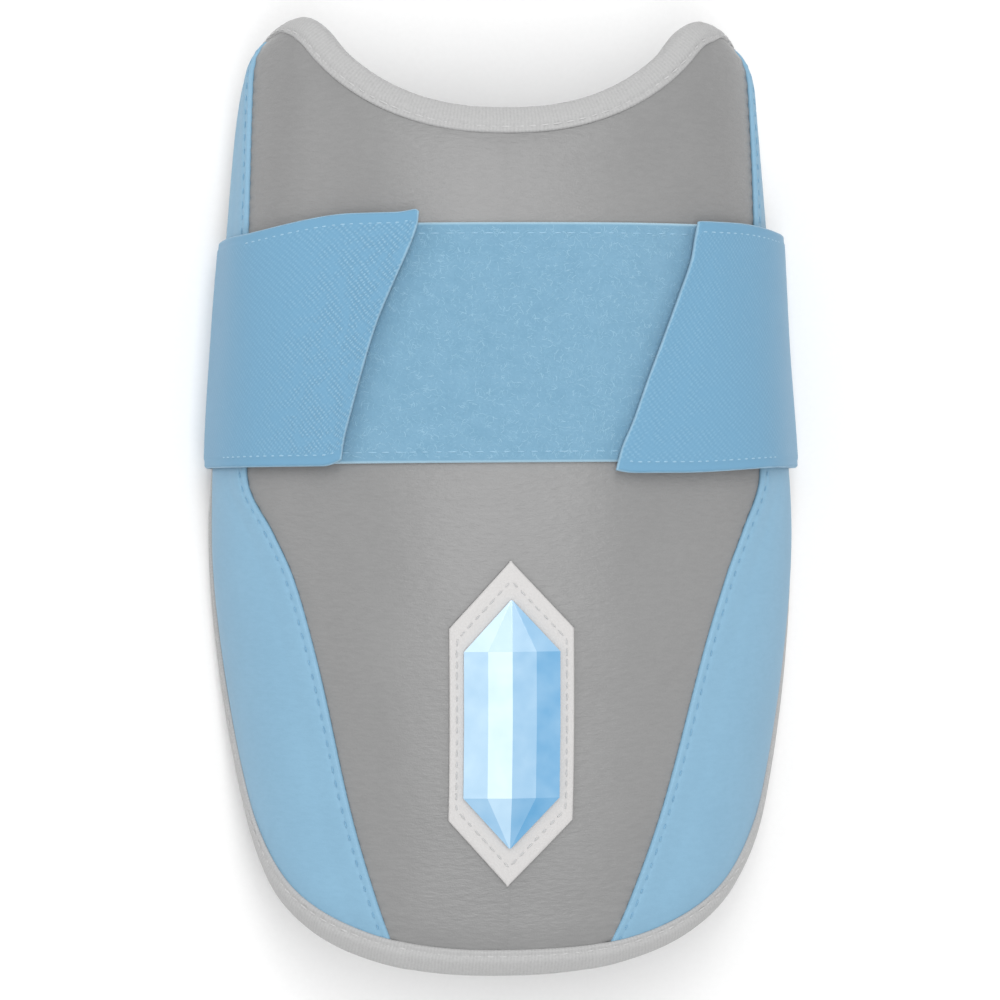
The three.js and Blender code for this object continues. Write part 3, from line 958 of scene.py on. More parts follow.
# %% Fastening patch
PATCH_LOW, PATCH_HIGH, PATCH_THICK = 7.3, 64.3, 1.0
PATCH_LEFT, PATCH_RIGHT = -47, 54
PATCH_COLUMNS, PATCH_ROWS = 170, 84
PATCH_CROWD_U, PATCH_CROWD_Y = 0.004, 0.008
PATCH_DROP, PATCH_ROUND = 0.5, 0.6
NAP = 0.08
NAP_SPAN = 2.2, 4.7
NAP_LUMP, NAP_LEVEL = 0.6, 1.2
NAP_SIZES_AND_SEEDS = (2.2, 7.5), (5.5, 2.5)
LOOP_DARK, LOOP_LIGHT = rgb(0.14, 0.299, 0.428), rgb(0.17, 0.339, 0.475)
LOOP_FLECK = rgb(0.265, 0.445, 0.57)


def patch_border(u, y):
    sideways = np.minimum(u - PATCH_LEFT, PATCH_RIGHT - u)
    return np.minimum(sideways, np.minimum(y - PATCH_LOW, PATCH_HIGH - y))


def patch_lift(u, y):
    """Height of the patch's face: rounded at the cut edge, pressed flat in the hem, napped inside it."""
    border = patch_border(u, y)
    lumps = sum(NAP_LUMP * swell(u, y, size, seed) for size, seed in NAP_SIZES_AND_SEEDS)
    nap = NAP * smooth(border, *NAP_SPAN) * (lumps + NAP_LEVEL)
    return GAP + PATCH_THICK - PATCH_DROP * fade(border, PATCH_ROUND) + nap


def hemmed(edge, steps):
    """Stops from 0 to 1, with two short steps at either end."""
    return spread(0, (edge, 2), (1 - edge, steps - 4), (1, 2))


def patch_point(column, row, top):
    u = mix(PATCH_LEFT, PATCH_RIGHT, hemmed(PATCH_CROWD_U, PATCH_COLUMNS)[column])
    y = mix(PATCH_LOW, PATCH_HIGH, hemmed(PATCH_CROWD_Y, PATCH_ROWS)[row])
    lift = np.where(top, patch_lift(u, y), GAP)
    return bend(u, y, lift), np.stack([u, y, patch_border(u, y)], axis=-1)


loop_cloth = Finish("loop_nap", Roughness=0.95, Sheen_Weight=0.4, Sheen_Roughness=0.6)
loop_spot = loop_cloth.flat()
loop_cloud = loop_cloth.noise(loop_spot, 230.0, 4.0, 0.6)
loop_fuzz = loop_cloth.noise(loop_spot, 1500.0, 3.0, 0.7)
# The patch is coloured paler along its cut edge: fuzz of the cut loops, with a painted highlight.
loop_edge_fuzz_and_highlight = loop_cloth.ramp(loop_cloth.axis(loop_spot, "Z"), 0.15 * MM, 0.8 * MM)
loop_tone = loop_cloud * 0.5 + loop_fuzz * 0.5
loop_fleck = loop_cloth.ramp(loop_cloth.noise(loop_spot, 900.0, 3.0, 0.6), 0.6, 0.75)
loop_body = loop_cloth.blend(loop_cloth.ramp(loop_tone, 0.3, 0.7), LOOP_DARK, LOOP_LIGHT)
loop_body = loop_cloth.blend(loop_fleck * 0.35, loop_body, LOOP_FLECK)
loop_cloth.colour(loop_cloth.blend(loop_edge_fuzz_and_highlight, rgb(0.33, 0.52, 0.64), loop_body))
loop_cloth.relief((loop_fuzz, 0.15 * MM), (loop_cloud, 0.1 * MM))
patch_bm = slab(PATCH_COLUMNS, PATCH_ROWS, patch_point)
patch = add_piece("fastening_patch", patch_bm, loop_cloth, "loop_patch")

# %% [markdown]
# ## Strap
# The band starts at its right end on the patch, goes down the right wall, turns under, crosses the back
# flat on the floor and comes up the left side to its left end. Each end is cut at a slant. The wide
# elastic has a plain margin along both edges and a diagonal rib, and its ends lift a little, as a
# fastened strap's do.

# %% The strap's course
STRAP_THICK = 1.5
STRAP_FRONT_LIFT = 3.2
STRAP_EASE_SPAN = 60, 84
STRAP_TURN_HEIGHT = 7
STRAP_LOW, STRAP_HIGH = 6.7, 63.6
STRAP_SIDES = {
    "side": [-1, 1],
    "lift_low": [0.4, 0.8],
    "lift_high": [0.4, 2.5],
    "side_low": [6.7, 5.9],
    "side_high": [62.7, 63.6],
    "end_low": [6.7, 4.6],
    "end_high": [66.6, 64.8],
    "u_low": [-39.8, 23.8],
    "u_high": [-20.6, 45.4],
    "corner": [1.5, 0.7],
    "lobe": [0.9, 0.0],
    "round": [0.9, 0.2],
    "curl": [2.0, 0.6],
}
STRAP_CUT = {
    "y": [0, 0.09, 0.2, 0.35, 0.55, 0.72, 0.84, 0.94, 1],
    "left": [0.0, -0.7, -0.9, -1.1, -1.1, -0.2, 0.6, 0.8, 0.1],
    "right": [0.0, -0.4, 0.2, 0.4, 1.0, 1.4, 1.5, 0.5, 0.0],
}
END_CURL = 16
END_CURL_LOW = 0.4
CORNER_REACH, LOBE_REACH, ROUND_REACH = 5, 6, 1.2
SETTLE_SPAN, TO_BACK_SPAN = (0.2, 0.6), (1.5, 2.5)
SLACK = 0.3
SLACK_WAVE_U, SLACK_WAVE_Y = 7.3, 19
SLACK_RISE_SPAN, SLACK_FALL_SPAN = (0.02, 0.2), (0.8, 1)
STRAP_STAGES = spread(0, (0.004, 2), (0.01, 2), (1, 120), (2, 14), (3, 40))
STRAP_ACROSS = spread(0, (0.004, 1), (0.012, 2), (0.05, 6), (0.95, 46), (0.988, 6), (0.996, 2), (1, 1))
STRAP_HALF = len(STRAP_STAGES) - 1
STRAP_STEP = np.arange(2 * STRAP_HALF + 1)
STRAP_SIDE = np.where(STRAP_STEP <= STRAP_HALF, 1, -1)
STRAP_STAGE = STRAP_STAGES[np.minimum(STRAP_STEP, 2 * STRAP_HALF - STRAP_STEP)]


def strap_side(side, column):
    return by_side(side, *STRAP_SIDES[column])


def strap_cut(side, b):
    """Where the end of the strap is cut, at b across it: a slanted line that isn't quite straight."""
    slant = mix(strap_side(side, "u_low"), strap_side(side, "u_high"), b)
    return slant + along_side(STRAP_CUT, side, b)


def wall_lift(side, b):
    return mix(strap_side(side, "lift_low"), strap_side(side, "lift_high"), b)


def strap_lift(u, side, b):
    ease = smooth(np.abs(u), *STRAP_EASE_SPAN)
    return mix(STRAP_FRONT_LIFT, wall_lift(side, b), ease)


def end_curl(side, from_end, b):
    """How far the fastened end of the strap has peeled off the patch."""
    return strap_side(side, "curl") * fade(from_end, END_CURL) * mix(END_CURL_LOW, 1, b)


def band_edge(side, stage, which, at_back):
    """The band's lower or upper edge, from its fastened end down the wall and over to the back."""
    settle = smooth(stage, *SETTLE_SPAN)
    on_wall = mix(strap_side(side, "end_" + which), strap_side(side, "side_" + which), settle)
    return mix(on_wall, at_back, smooth(stage, *TO_BACK_SPAN))


def strap_surface(side, stage, b, height):
    """Points of the band, at b across it and a height above its inner face."""
    cut = strap_cut(side, b)
    low = band_edge(side, stage, "low", STRAP_LOW)
    high = band_edge(side, stage, "high", STRAP_HIGH)
    wall_end = section(mix(low, high, b)).floor - STRAP_TURN_HEIGHT
    u = mix(cut, side * wall_end, np.minimum(stage, 1))
    from_end = np.abs(u - cut)
    low = low + strap_side(side, "corner") * fade(from_end, CORNER_REACH)
    high = high + strap_side(side, "lobe") * fade(from_end, LOBE_REACH)
    high = high - strap_side(side, "round") * fade(from_end, ROUND_REACH)
    y = mix(low, high, b)
    curl = end_curl(side, from_end, b)
    slack = SLACK * (1 + np.sin(u / SLACK_WAVE_U + y / SLACK_WAVE_Y))
    slack = slack * smooth(stage, *SLACK_RISE_SPAN) * (1 - smooth(stage, *SLACK_FALL_SPAN))
    front = bend(u, y, strap_lift(u, side, b) + height + curl + slack)
    wall_x = np.abs(bend(side * wall_end, y, wall_lift(side, b) + height)[..., 0]) / MM
    radius = STRAP_TURN_HEIGHT - STRAP_THICK + height
    turn = np.clip(stage - 1, 0, 1) * np.pi / 2
    x = (wall_x - radius) * (1 - np.maximum(stage - 2, 0)) + radius * np.cos(turn)
    under = np.stack([side * x, y, STRAP_TURN_HEIGHT - radius * np.sin(turn)], axis=-1) * MM
    return np.where((np.asarray(stage) <= 1)[..., None], front, under)


STRAP_LINE = strap_surface(STRAP_SIDE, STRAP_STAGE, 0.5, 0.0)
STRAP_RUN = chain_run(np.linalg.norm(np.diff(STRAP_LINE, axis=0), axis=1)) / MM
STRAP_LENGTH = STRAP_RUN[-1]
STRAP_WIDTH = STRAP_HIGH - STRAP_LOW
print("strap length:", round(STRAP_LENGTH), "mm")

# %% [markdown]
# ## Elastic
# The band is woven elastic: a faint diagonal rib crossed by fine thread. Near the ends, where it is
# sewn to the hooks, the crossings stand out as raised bumps with a painted highlight, and painted shade
# darkens the valleys between them. The margin along the long edges is plain and smoother, and along
# the cut edge runs a paler line of cut fibres with a painted highlight. The waves of the rib and of the
# crossings make both from one pattern.

# %% Elastic and the strap
RIB_SLANT = math.radians(50)
RIB_GAP = 0.98 * MM
BEAD_GAP = 0.8 * MM
MARGIN = 2.3 * MM
MARGIN_FADED = 1.3 * MARGIN
MARGIN_THIN = 0.2
MARGIN_THIN_SPAN = 1.6, 2.6
STRAP_DROP, STRAP_ROUND, STRAP_DROP_UNDER = 0.6, 0.7, 0.3
END_TEXTURE = 34 * MM
END_TEXTURE_FULL = 0.15 * END_TEXTURE
ELASTIC_BASE = rgb(0.14, 0.314, 0.47)
ELASTIC_BEAD_HIGHLIGHT = rgb(0.33, 0.56, 0.72)
ELASTIC_VALLEY_SHADE = rgb(0.08, 0.22, 0.37)
ELASTIC_CUT_FUZZ_AND_HIGHLIGHT = rgb(0.36, 0.56, 0.69)


def strap_point(column, row, top):
    side = STRAP_SIDE[column]
    stage = STRAP_STAGE[column]
    b = STRAP_ACROSS[row]
    run = STRAP_RUN[column]
    selvedge = np.minimum(b, 1 - b) * STRAP_WIDTH
    border = np.minimum(selvedge, np.minimum(run, STRAP_LENGTH - run))
    rounded = STRAP_DROP * fade(border, STRAP_ROUND)
    thin = MARGIN_THIN * (1 - smooth(selvedge, *MARGIN_THIN_SPAN))
    height = np.where(top, STRAP_THICK - rounded - thin, STRAP_DROP_UNDER * rounded)
    return strap_surface(side, stage, b, height), np.stack([run, b * STRAP_WIDTH, border], axis=-1)


elastic = Finish("woven_elastic", Roughness=0.85, Sheen_Weight=0.15, Sheen_Roughness=0.5)
weave = elastic.flat()
weave_run = elastic.axis(weave, "X")
weave_across = elastic.axis(weave, "Y")
weave_drift = elastic.noise(weave, 90.0, 3.0)
weave_cloud = elastic.noise(weave, 300.0, 3.0, 0.6)
thread = elastic.noise(weave, 2600.0, 3.0, 0.75)
rib_phase = (weave_run * math.cos(RIB_SLANT) + weave_across * math.sin(RIB_SLANT)) / RIB_GAP
bead_phase = (weave_across * math.cos(RIB_SLANT) - weave_run * math.sin(RIB_SLANT)) / BEAD_GAP
slub = elastic.noise(weave, 620.0, 2.0)
rib = elastic.wave(rib_phase + weave_drift * 0.8 + slub * 0.7)
crossing = elastic.wave(bead_phase + weave_drift * 1.1 - slub * 0.7)
full_run, full_width = STRAP_LENGTH * MM, STRAP_WIDTH * MM
from_start = 1 - elastic.ramp(weave_run, END_TEXTURE_FULL, END_TEXTURE)
from_finish = elastic.ramp(weave_run, full_run - END_TEXTURE, full_run - END_TEXTURE_FULL)
margin = elastic.ramp(weave_across, MARGIN, MARGIN_FADED)
margin = margin * (1 - elastic.ramp(weave_across, full_width - MARGIN_FADED, full_width - MARGIN))
patchy = elastic.ramp(weave_cloud, 0.35, 0.6)
near_end = from_start * 0.25 + from_finish
# Painted highlight: the raised crossings are coloured paler as well as bumped.
bead_bumps_and_highlight = elastic.ramp(rib * 0.48 + crossing * 0.52 + (thread - 0.5) * 2.8, -0.2, 0.85)
weave_height_and_highlight = bead_bumps_and_highlight * (0.08 + (0.06 + near_end * 0.36) * patchy) * margin
# Painted shade: the valleys of the weave are coloured darker.
valley_shade = elastic.ramp(0 - rib - crossing * 0.6, 0.1, 1.2) * (0.06 + near_end * 0.2) * patchy * margin
from_cut = elastic.axis(weave, "Z") + (weave_cloud - 0.5) * 0.5 * MM
# Paler along the cut edge: cut fibres, with a painted highlight.
cut_edge_fuzz_and_highlight = 1 - elastic.ramp(from_cut, 0.08 * MM, 0.36 * MM)
weave_body = elastic.blend(weave_height_and_highlight, ELASTIC_BASE, ELASTIC_BEAD_HIGHLIGHT)
weave_body = elastic.blend(valley_shade, weave_body, ELASTIC_VALLEY_SHADE)
elastic.colour(elastic.blend(cut_edge_fuzz_and_highlight * 0.6, weave_body, ELASTIC_CUT_FUZZ_AND_HIGHLIGHT))
elastic.relief((weave_height_and_highlight, 0.2 * MM))
strap_bm = slab(2 * STRAP_HALF, len(STRAP_ACROSS) - 1, strap_point)
strap = add_piece("elastic_strap", strap_bm, elastic, "strap_band")

# %% [markdown]
# ## Hook tabs
# Under each end of the strap a tab of moulded hooks grips the patch. Only its edge can be seen, from
# low at the side, so it is a plain thin sheet with a field of tiny studs in its finish.

# %% Hook tabs
TAB_THICK = 1.0
TAB_LIFT = 1.8
TAB_INSET, TAB_LENGTH, TAB_MARGIN = 3, 24, 3
TAB_COLUMNS, TAB_ROWS = 24, 20
STUD_GAP = 1.1 * MM

hooks = Finish("hook_tape", Roughness=0.55)
hook_spot = hooks.flat()
stud_along, stud_across = [hooks.wave(hooks.axis(hook_spot, axis) / STUD_GAP) for axis in "XY"]
stud = stud_along * stud_across
hooks.colour(hooks.blend(stud * 0.5 + 0.5, rgb(0.17, 0.35, 0.5), rgb(0.26, 0.46, 0.62)))
hooks.relief((stud, 0.4 * MM))


def hook_tab(name, node, side):
    low = float(strap_side(side, "end_low")) + TAB_MARGIN
    high = np.minimum(strap_side(side, "end_high"), strap_side(side, "side_high"))
    high = float(high) - TAB_MARGIN

    def place(column, row, top):
        b = row / TAB_ROWS
        y = np.clip(mix(low, high, b), PATCH_LOW, PATCH_HIGH)
        share = column / TAB_COLUMNS
        run = TAB_INSET + TAB_LENGTH * (share if side > 0 else 1 - share)
        u = np.clip(strap_cut(side, b) + side * run, -STRAP_EASE_SPAN[0], STRAP_EASE_SPAN[0])
        lift = TAB_LIFT + end_curl(side, run, b) + np.where(top, TAB_THICK, 0)
        return bend(u, y, lift), np.stack([u, y, run], axis=-1)

    add_piece(name, slab(TAB_COLUMNS, TAB_ROWS, place), hooks, node)


hook_tab("hook_tape_left", "hook_tab_left", -1)
hook_tab("hook_tape_right", "hook_tab_right", 1)

# %% [markdown]
# ## Loops of the patch
# The loops stand where the patch shows between the strap's ends. One loop is made, and copies of it are
# laid out in one array, each with its own place, turn and size, so that they are one mesh.

# %% Loops
LOOP_COUNT = 5200
LOOP_TRIES = 3 * LOOP_COUNT
LOOP_SPAN = 0.25, 0.65
LOOP_LEAN = 0.6
LOOP_SINK = 0.02
LOOP_BORDER = 1.2
LOOP_UNDER_STRAP = 2.5
FAR_FROM_EDGE = 9.0
LOOP_FIBRE = 0.14
LOOP_RISE = 0.12
LOOP_STEPS = 5
LOOP_SEED = 11


def template(bm):
    """The points and faces of a small shape, as arrays that can be copied."""
    points = np.array([v.co[:] for v in bm.verts])
    faces = [[v.index for v in face.verts] for face in bm.faces]
    bm.free()
    return points, faces


def joined_copies(name, points, faces, flat, finish, smooth_shade=True):
    """One mesh of many copies; points holds a block for each copy, and flat one spot for each copy."""
    copies, size = points.shape[:2]
    offsets = np.arange(copies) * size
    all_faces = [[index + offset for index in face] for offset in offsets for face in faces]
    mesh = bpy.data.meshes.new(name)
    mesh.from_pydata(points.reshape(-1, 3).tolist(), [], all_faces)
    spots = mesh.attributes.new("flat", "FLOAT_VECTOR", "POINT")
    spots.data.foreach_set("vector", np.repeat(flat * MM, size, axis=0).ravel())
    bm = bmesh.new()
    bm.from_mesh(mesh)
    bpy.data.meshes.remove(mesh)
    return add_piece(name, bm, finish, smooth_shade=smooth_shade)


def loop_shape():
    bm = bmesh.new()
    bmesh.ops.create_circle(bm, cap_ends=True, segments=3, radius=LOOP_FIBRE)
    bmesh.ops.translate(bm, verts=bm.verts[:], vec=(1, 0, 0))
    around = bm.verts[:] + bm.edges[:] + bm.faces[:]
    bmesh.ops.spin(bm, geom=around, cent=(0, 0, 0), axis=(0, 1, 0), angle=-math.pi, steps=LOOP_STEPS)
    bmesh.ops.recalc_face_normals(bm, faces=bm.faces[:])
    bm.verts.index_update()
    return template(bm)


def between_ends(u, y):
    """Whether a spot of the patch shows between the slanted ends of the strap."""
    shown = patch_border(u, y) > LOOP_BORDER
    for side in STRAP_SIDES["side"]:
        low, high = strap_side(side, "end_low"), strap_side(side, "end_high")
        b = np.clip((y - low) / (high - low), 0, 1)
        shown &= side * (strap_cut(side, b) + side * LOOP_UNDER_STRAP - u) > 0
    return shown


draw = np.random.default_rng(LOOP_SEED)
loop_u = draw.uniform(PATCH_LEFT, PATCH_RIGHT, LOOP_TRIES)
loop_y = draw.uniform(PATCH_LOW, PATCH_HIGH, LOOP_TRIES)
shown = np.flatnonzero(between_ends(loop_u, loop_y))[:LOOP_COUNT]
loop_u, loop_y = loop_u[shown], loop_y[shown]
loop_turn = draw.uniform(0, math.tau, len(shown))[:, None]
loop_size = draw.uniform(*LOOP_SPAN, len(shown))[:, None]
loop_lean = draw.uniform(-LOOP_LEAN, LOOP_LEAN, len(shown))[:, None]
loop_points, loop_faces = loop_shape()
loop_side = loop_points[:, 1] + loop_lean * loop_points[:, 2]
across = loop_size * (loop_points[:, 0] * np.cos(loop_turn) - loop_side * np.sin(loop_turn))
upward = loop_size * (loop_points[:, 0] * np.sin(loop_turn) + loop_side * np.cos(loop_turn))
loop_foot = patch_lift(loop_u, loop_y)[:, None] - LOOP_SINK
loop_lift = loop_foot + loop_size * LOOP_RISE * loop_points[:, 2]
loop_places = bend(loop_u[:, None] + across, loop_y[:, None] + upward, loop_lift)
loop_flat = np.stack([loop_u, loop_y, np.full(len(shown), FAR_FROM_EDGE)], axis=-1)
loop_thread = Finish("loop_thread", Roughness=0.9, Sheen_Weight=0.4, Sheen_Roughness=0.6)
loop_tint = loop_thread.ramp(loop_thread.noise(loop_thread.flat(), 700.0, 2.0), 0.35, 0.65)
loop_thread.colour(loop_thread.blend(loop_tint, rgb(0.178, 0.36, 0.494), rgb(0.245, 0.436, 0.57)))
pile = joined_copies("fastening_loops", loop_places, loop_faces, loop_flat, loop_thread,
                     smooth_shade=False)

# %% [markdown]
# ## Badge
# An upright six-sided plaque is sewn on the lower front: a flat light rim and a glossy faceted face
# that rises to a ridge. The face is a coarse grid on purpose, because its flat facets catch the light;
# the facets also carry painted light and shade in ice blue, lighter at the upper left and darker at the
# lower right.

# %% Badge
BADGE_U, BADGE_Y = -1, -55
BADGE_HALF_HEIGHT, BADGE_HALF_WIDTH, BADGE_CORNER, BADGE_POINT = 39, 15, 23, 0.02
CORNER_SHARE = BADGE_CORNER / BADGE_HALF_HEIGHT
BADGE_THICK = 0.8
INLAY_SHARE = 0.76
INLAY_RIDGE = 1.6
RIDGE_POWER = 4
RIM_COLUMNS, RIM_ROWS = 24, 64
RIM_CROWD_ACROSS, RIM_CROWD_ALONG = 0.02, 0.01
RIM_DROP, RIM_ROUND = 0.4, 0.5


def badge_half_width(share, size):
    height = np.abs(share) * BADGE_HALF_HEIGHT
    taper = (BADGE_HALF_HEIGHT - height) / (BADGE_HALF_HEIGHT - BADGE_CORNER)
    return size * BADGE_HALF_WIDTH * np.clip(taper, BADGE_POINT, 1)


def rim_point(column, row, top):
    across = 2 * hemmed(RIM_CROWD_ACROSS, RIM_COLUMNS)[column] - 1
    share = 2 * hemmed(RIM_CROWD_ALONG, RIM_ROWS)[row] - 1
    half = badge_half_width(share, 1)
    ends = (1 - np.abs(share)) * BADGE_HALF_HEIGHT
    border = np.minimum((1 - np.abs(across)) * half, ends)
    lift = GAP + np.where(top, BADGE_THICK - RIM_DROP * fade(border, RIM_ROUND), 0)
    u = BADGE_U + across * half
    y = BADGE_Y + share * BADGE_HALF_HEIGHT
    return bend(u, y, lift), np.stack([u, y, border], axis=-1)


rim_cloth = Finish("plaque_rim", Roughness=0.75)
rim_spot = rim_cloth.flat()
rim_fleck = rim_cloth.noise(rim_spot, 1900.0, 3.0, 0.6)
rim_cloth.colour(rim_cloth.blend(rim_fleck, rgb(0.5, 0.49, 0.485), rgb(0.62, 0.61, 0.605)))
rim_cloth.relief((rim_fleck, 0.12 * MM))
rim_bm = slab(RIM_COLUMNS, RIM_ROWS, rim_point)
add_piece("badge_rim", rim_bm, rim_cloth, "badge_border")

# %% [markdown]
# ## Facets of the badge
# The face is moulded with flat facets. They could be painted on a smooth face, but real edges catch the
# light from every side. The grid is split into triangles, and each has a painted light and shade as a
# face attribute, named tone: lighter at the upper left, darker at the lower right.

# %% Badge facets
FACET_ROWS = np.array([-1, -CORNER_SHARE, 0, CORNER_SHARE, 1])
FACET_COLUMNS = 4
# Painted light and shade of the facets, by column from left to right: lighter upper left, darker lower
# right.
FACET_LIGHT_AND_SHADE = {
    "lower": [0.35, 0.6, 0.2, 0.05],
    "body": [0.6, 0.95, 0.4, 0.15],
    "upper": [0.9, 0.75, 0.55, 0.35],
}


def facet_point(column, row, top):
    across = 2 * column / FACET_COLUMNS - 1
    share = FACET_ROWS[row]
    u = BADGE_U + across * badge_half_width(share, INLAY_SHARE)
    y = BADGE_Y + share * INLAY_SHARE * BADGE_HALF_HEIGHT
    peak = INLAY_RIDGE * (1 - np.abs(across)) * (1 - np.abs(share) ** RIDGE_POWER)
    lift = GAP + BADGE_THICK + GAP + np.where(top, BADGE_THICK + peak, 0)
    return bend(u, y, lift), np.stack([u, y, share], axis=-1)


facets = Finish("ice_facets", Roughness=0.22, Coat_Weight=0.3, Coat_Roughness=0.1)
facet_painted_light = facets.node("ShaderNodeAttribute", {"attribute_name": "tone"}, output="Fac")
facet_cloud = facets.noise(facets.flat(), 160.0, 2.0)
facet_shade = facet_painted_light + (facet_cloud - 0.5) * 0.35
facets.colour(facets.blend(facet_shade, rgb(0.1, 0.32, 0.56), rgb(0.62, 0.79, 0.9)))
facet_bm = slab(FACET_COLUMNS, len(FACET_ROWS) - 1, facet_point)
bmesh.ops.triangulate(facet_bm, faces=facet_bm.faces[:])
badge_facets = add_piece("badge_facets", facet_bm, facets, "badge_inlay", smooth_shade=False)
facet_light_values = badge_facets.data.attributes.new("tone", "FLOAT", "FACE")
cut_spots = badge_facets.data.attributes["flat"].data
for face, tone in zip(badge_facets.data.polygons, facet_light_values.data):
    spots = [cut_spots[index].vector for index in face.vertices]
    u, _, share = sum(spots, Vector()) / (len(spots) * MM)
    across = (u - BADGE_U) / float(badge_half_width(share, INLAY_SHARE))
    column = min(max(int((across + 1) / 2 * FACET_COLUMNS), 0), FACET_COLUMNS - 1)
    tip = "upper" if share > 0 else "lower"
    tone.value = FACET_LIGHT_AND_SHADE[tip if abs(share) > CORNER_SHARE else "body"][column]

# %% [markdown]
# ## Stitches
# Every seam is real thread: a short rounded stitch, a needle hole, and the next stitch. One stitch is a
# small sphere drawn out along its seam, and each row of them is copied along a line that follows the
# bent cloth.

# %% Stitches
STITCH_HEIGHT = 0.32
STITCH_STRIDE = 1.7
FILL_SPREAD = 0.72, 1.12
PLACE_SPREAD = 0.06
SEWING = {
    "seam": {"pitch": SEAM_PITCH, "fill": 0.52, "width": 0.5},
    "tape": {"pitch": TAPE_STITCH_PITCH, "fill": 0.7, "width": 0.5},
    "patch": {"pitch": 3.2, "fill": 0.62, "width": 0.38},
    "strap": {"pitch": 2.2, "fill": 0.55, "width": 0.42},
    "badge": {"pitch": 2.6, "fill": 0.7, "width": 0.5},
}


def stitch_shape():
    bm = bmesh.new()
    bmesh.ops.create_uvsphere(bm, u_segments=6, v_segments=6, radius=0.5)
    bm.verts.index_update()
    return template(bm)


STITCH_POINTS, STITCH_FACES = stitch_shape()


def stitch_row(kind, points, outward):
    """The start and end of each stitch along a line of points, and the way out of the cloth there."""
    run = chain_run(np.linalg.norm(np.diff(points, axis=0), axis=1))
    count = max(int(run[-1] / (SEWING[kind]["pitch"] * MM)), 1)
    step = run[-1] / count
    fill = SEWING[kind]["fill"] * draw.uniform(*FILL_SPREAD, count)
    shift = draw.uniform(-PLACE_SPREAD, PLACE_SPREAD, count)
    begin = (np.arange(count) + 0.5 - fill / 2 + shift) * step

    def at(s, values):
        return np.stack([np.interp(s, run, values[:, k]) for k in range(3)], axis=-1)

    return at(begin, points), at(begin + fill * step, points), at(begin + fill * step / 2, outward)


def sewn_line(kind, u, y, lift):
    """A row of stitches along a line of the flat pattern."""
    points = bend(u, y, lift)
    return stitch_row(kind, points, bend(u, y, lift + 1) - points)


def sew(kind, rows, finish):
    """All rows of one kind of stitch, as one piece."""
    start, end, out = [np.concatenate(part) for part in zip(*rows)]
    out /= np.linalg.norm(out, axis=1)[:, None]
    beside = np.cross(out, end - start)
    beside *= SEWING[kind]["width"] * MM / np.linalg.norm(beside, axis=1)[:, None]
    x, y, z = STITCH_POINTS.T
    places = (start + end)[:, None] / 2 + (end - start)[:, None] * z[:, None]
    places = places + beside[:, None] * x[:, None] + out[:, None] * (STITCH_HEIGHT * MM * y)[:, None]
    flat = np.full((len(start), 3), [0, 0, FAR_FROM_EDGE])
    flat[:, 0] = np.arange(len(start)) * STITCH_STRIDE
    return joined_copies(kind + "_stitches", places, STITCH_FACES, flat, finish)


def thread_finish(name, dark, light):
    made = Finish(name, Roughness=0.7, Sheen_Weight=0.2)
    spot = made.node("ShaderNodeTexCoord", output="Object")
    made.colour(made.blend(made.noise(spot, 900.0, 2.0), dark, light))
    return made


# The blue thread is coloured darker than the cloth: painted shade for stitches sunk in their groove.
blue_thread_and_shade = thread_finish("blue_thread_and_shade", rgb(0.125, 0.285, 0.435), rgb(0.2, 0.395, 0.55))
pale_thread = thread_finish("pale_thread", rgb(0.2, 0.4, 0.55), rgb(0.34, 0.54, 0.68))
grey_thread = thread_finish("grey_thread", rgb(0.42, 0.42, 0.42), rgb(0.55, 0.55, 0.55))
print("one stitch has", len(STITCH_FACES), "faces")

# %% [markdown]
# ## Seams and tape hems
# The blue panels are topstitched along their fold, and the tape is sewn through along its hem on both
# sides. Each line is found in the flat, at the depth of the groove there, so that thread and groove
# agree.

# %% Seam and tape stitches
SEAM_SAMPLES_SEWN, TAPE_SAMPLES = 900, 3000
SEAM_TUCK = 0.5
SEAM_SHORT = 1
SEAM_THREAD_LIFT = 0.08


def seam_path(side):
    """The line of stitches along a side cover's fold, and the way out of the cloth there."""
    low, high = line_ends(lambda y: seam(y, side) - FOLD_LAP + STITCH_IN, 1)
    y = np.linspace(low[0] + TAPE_REACH_LOWER[1] - SEAM_TUCK, high[0] - SEAM_SHORT, SEAM_SAMPLES_SEWN)
    u = side * (seam(y, side) - FOLD_LAP + STITCH_IN)
    edge = edge_place(u, y)
    fold = fold_relief(np.full(len(y), STITCH_IN), seam_run(y), edge[0])
    lift = cover_face(edge[0]) + fold + SEAM_THREAD_LIFT
    points = over_pad(u, y, lift, edge)
    return points, over_pad(u, y, lift + 1, edge) - points


def tape_path(between):
    """The line of stitches along the tape's hem, over the cover or under the foam."""
    line = outline(TAPE_SAMPLES)
    in_u, in_y = edge_normals(line)
    width = tape_reach(line.u, line.y, between)
    depth = width - tape_stitch_in(width)
    u, y = line.u + in_u * depth, line.y + in_y * depth
    lift = tape_lift(depth, between, 1, line.run, width, fold_under(u, y, depth))
    points = over_pad(u, y, lift, (depth, in_u, in_y))
    return points, over_pad(u, y, lift + 1 - 2 * between, (depth, in_u, in_y)) - points


seam_rows = [stitch_row("seam", *seam_path(side)) for side in (-1, 1)]
seam_stitches = sew("seam", seam_rows, blue_thread_and_shade)
tape_rows = [stitch_row("tape", *tape_path(between)) for between in (0, 1)]
tape_stitches = sew("tape", tape_rows, grey_thread)

# %% [markdown]
# ## Sewn-on pieces
# The patch is sewn down along its two long edges, the strap along its margins as far as the hooks go,
# and the badge all round its rim. Each kind of thread is one mesh, which keeps the number of pieces
# small.

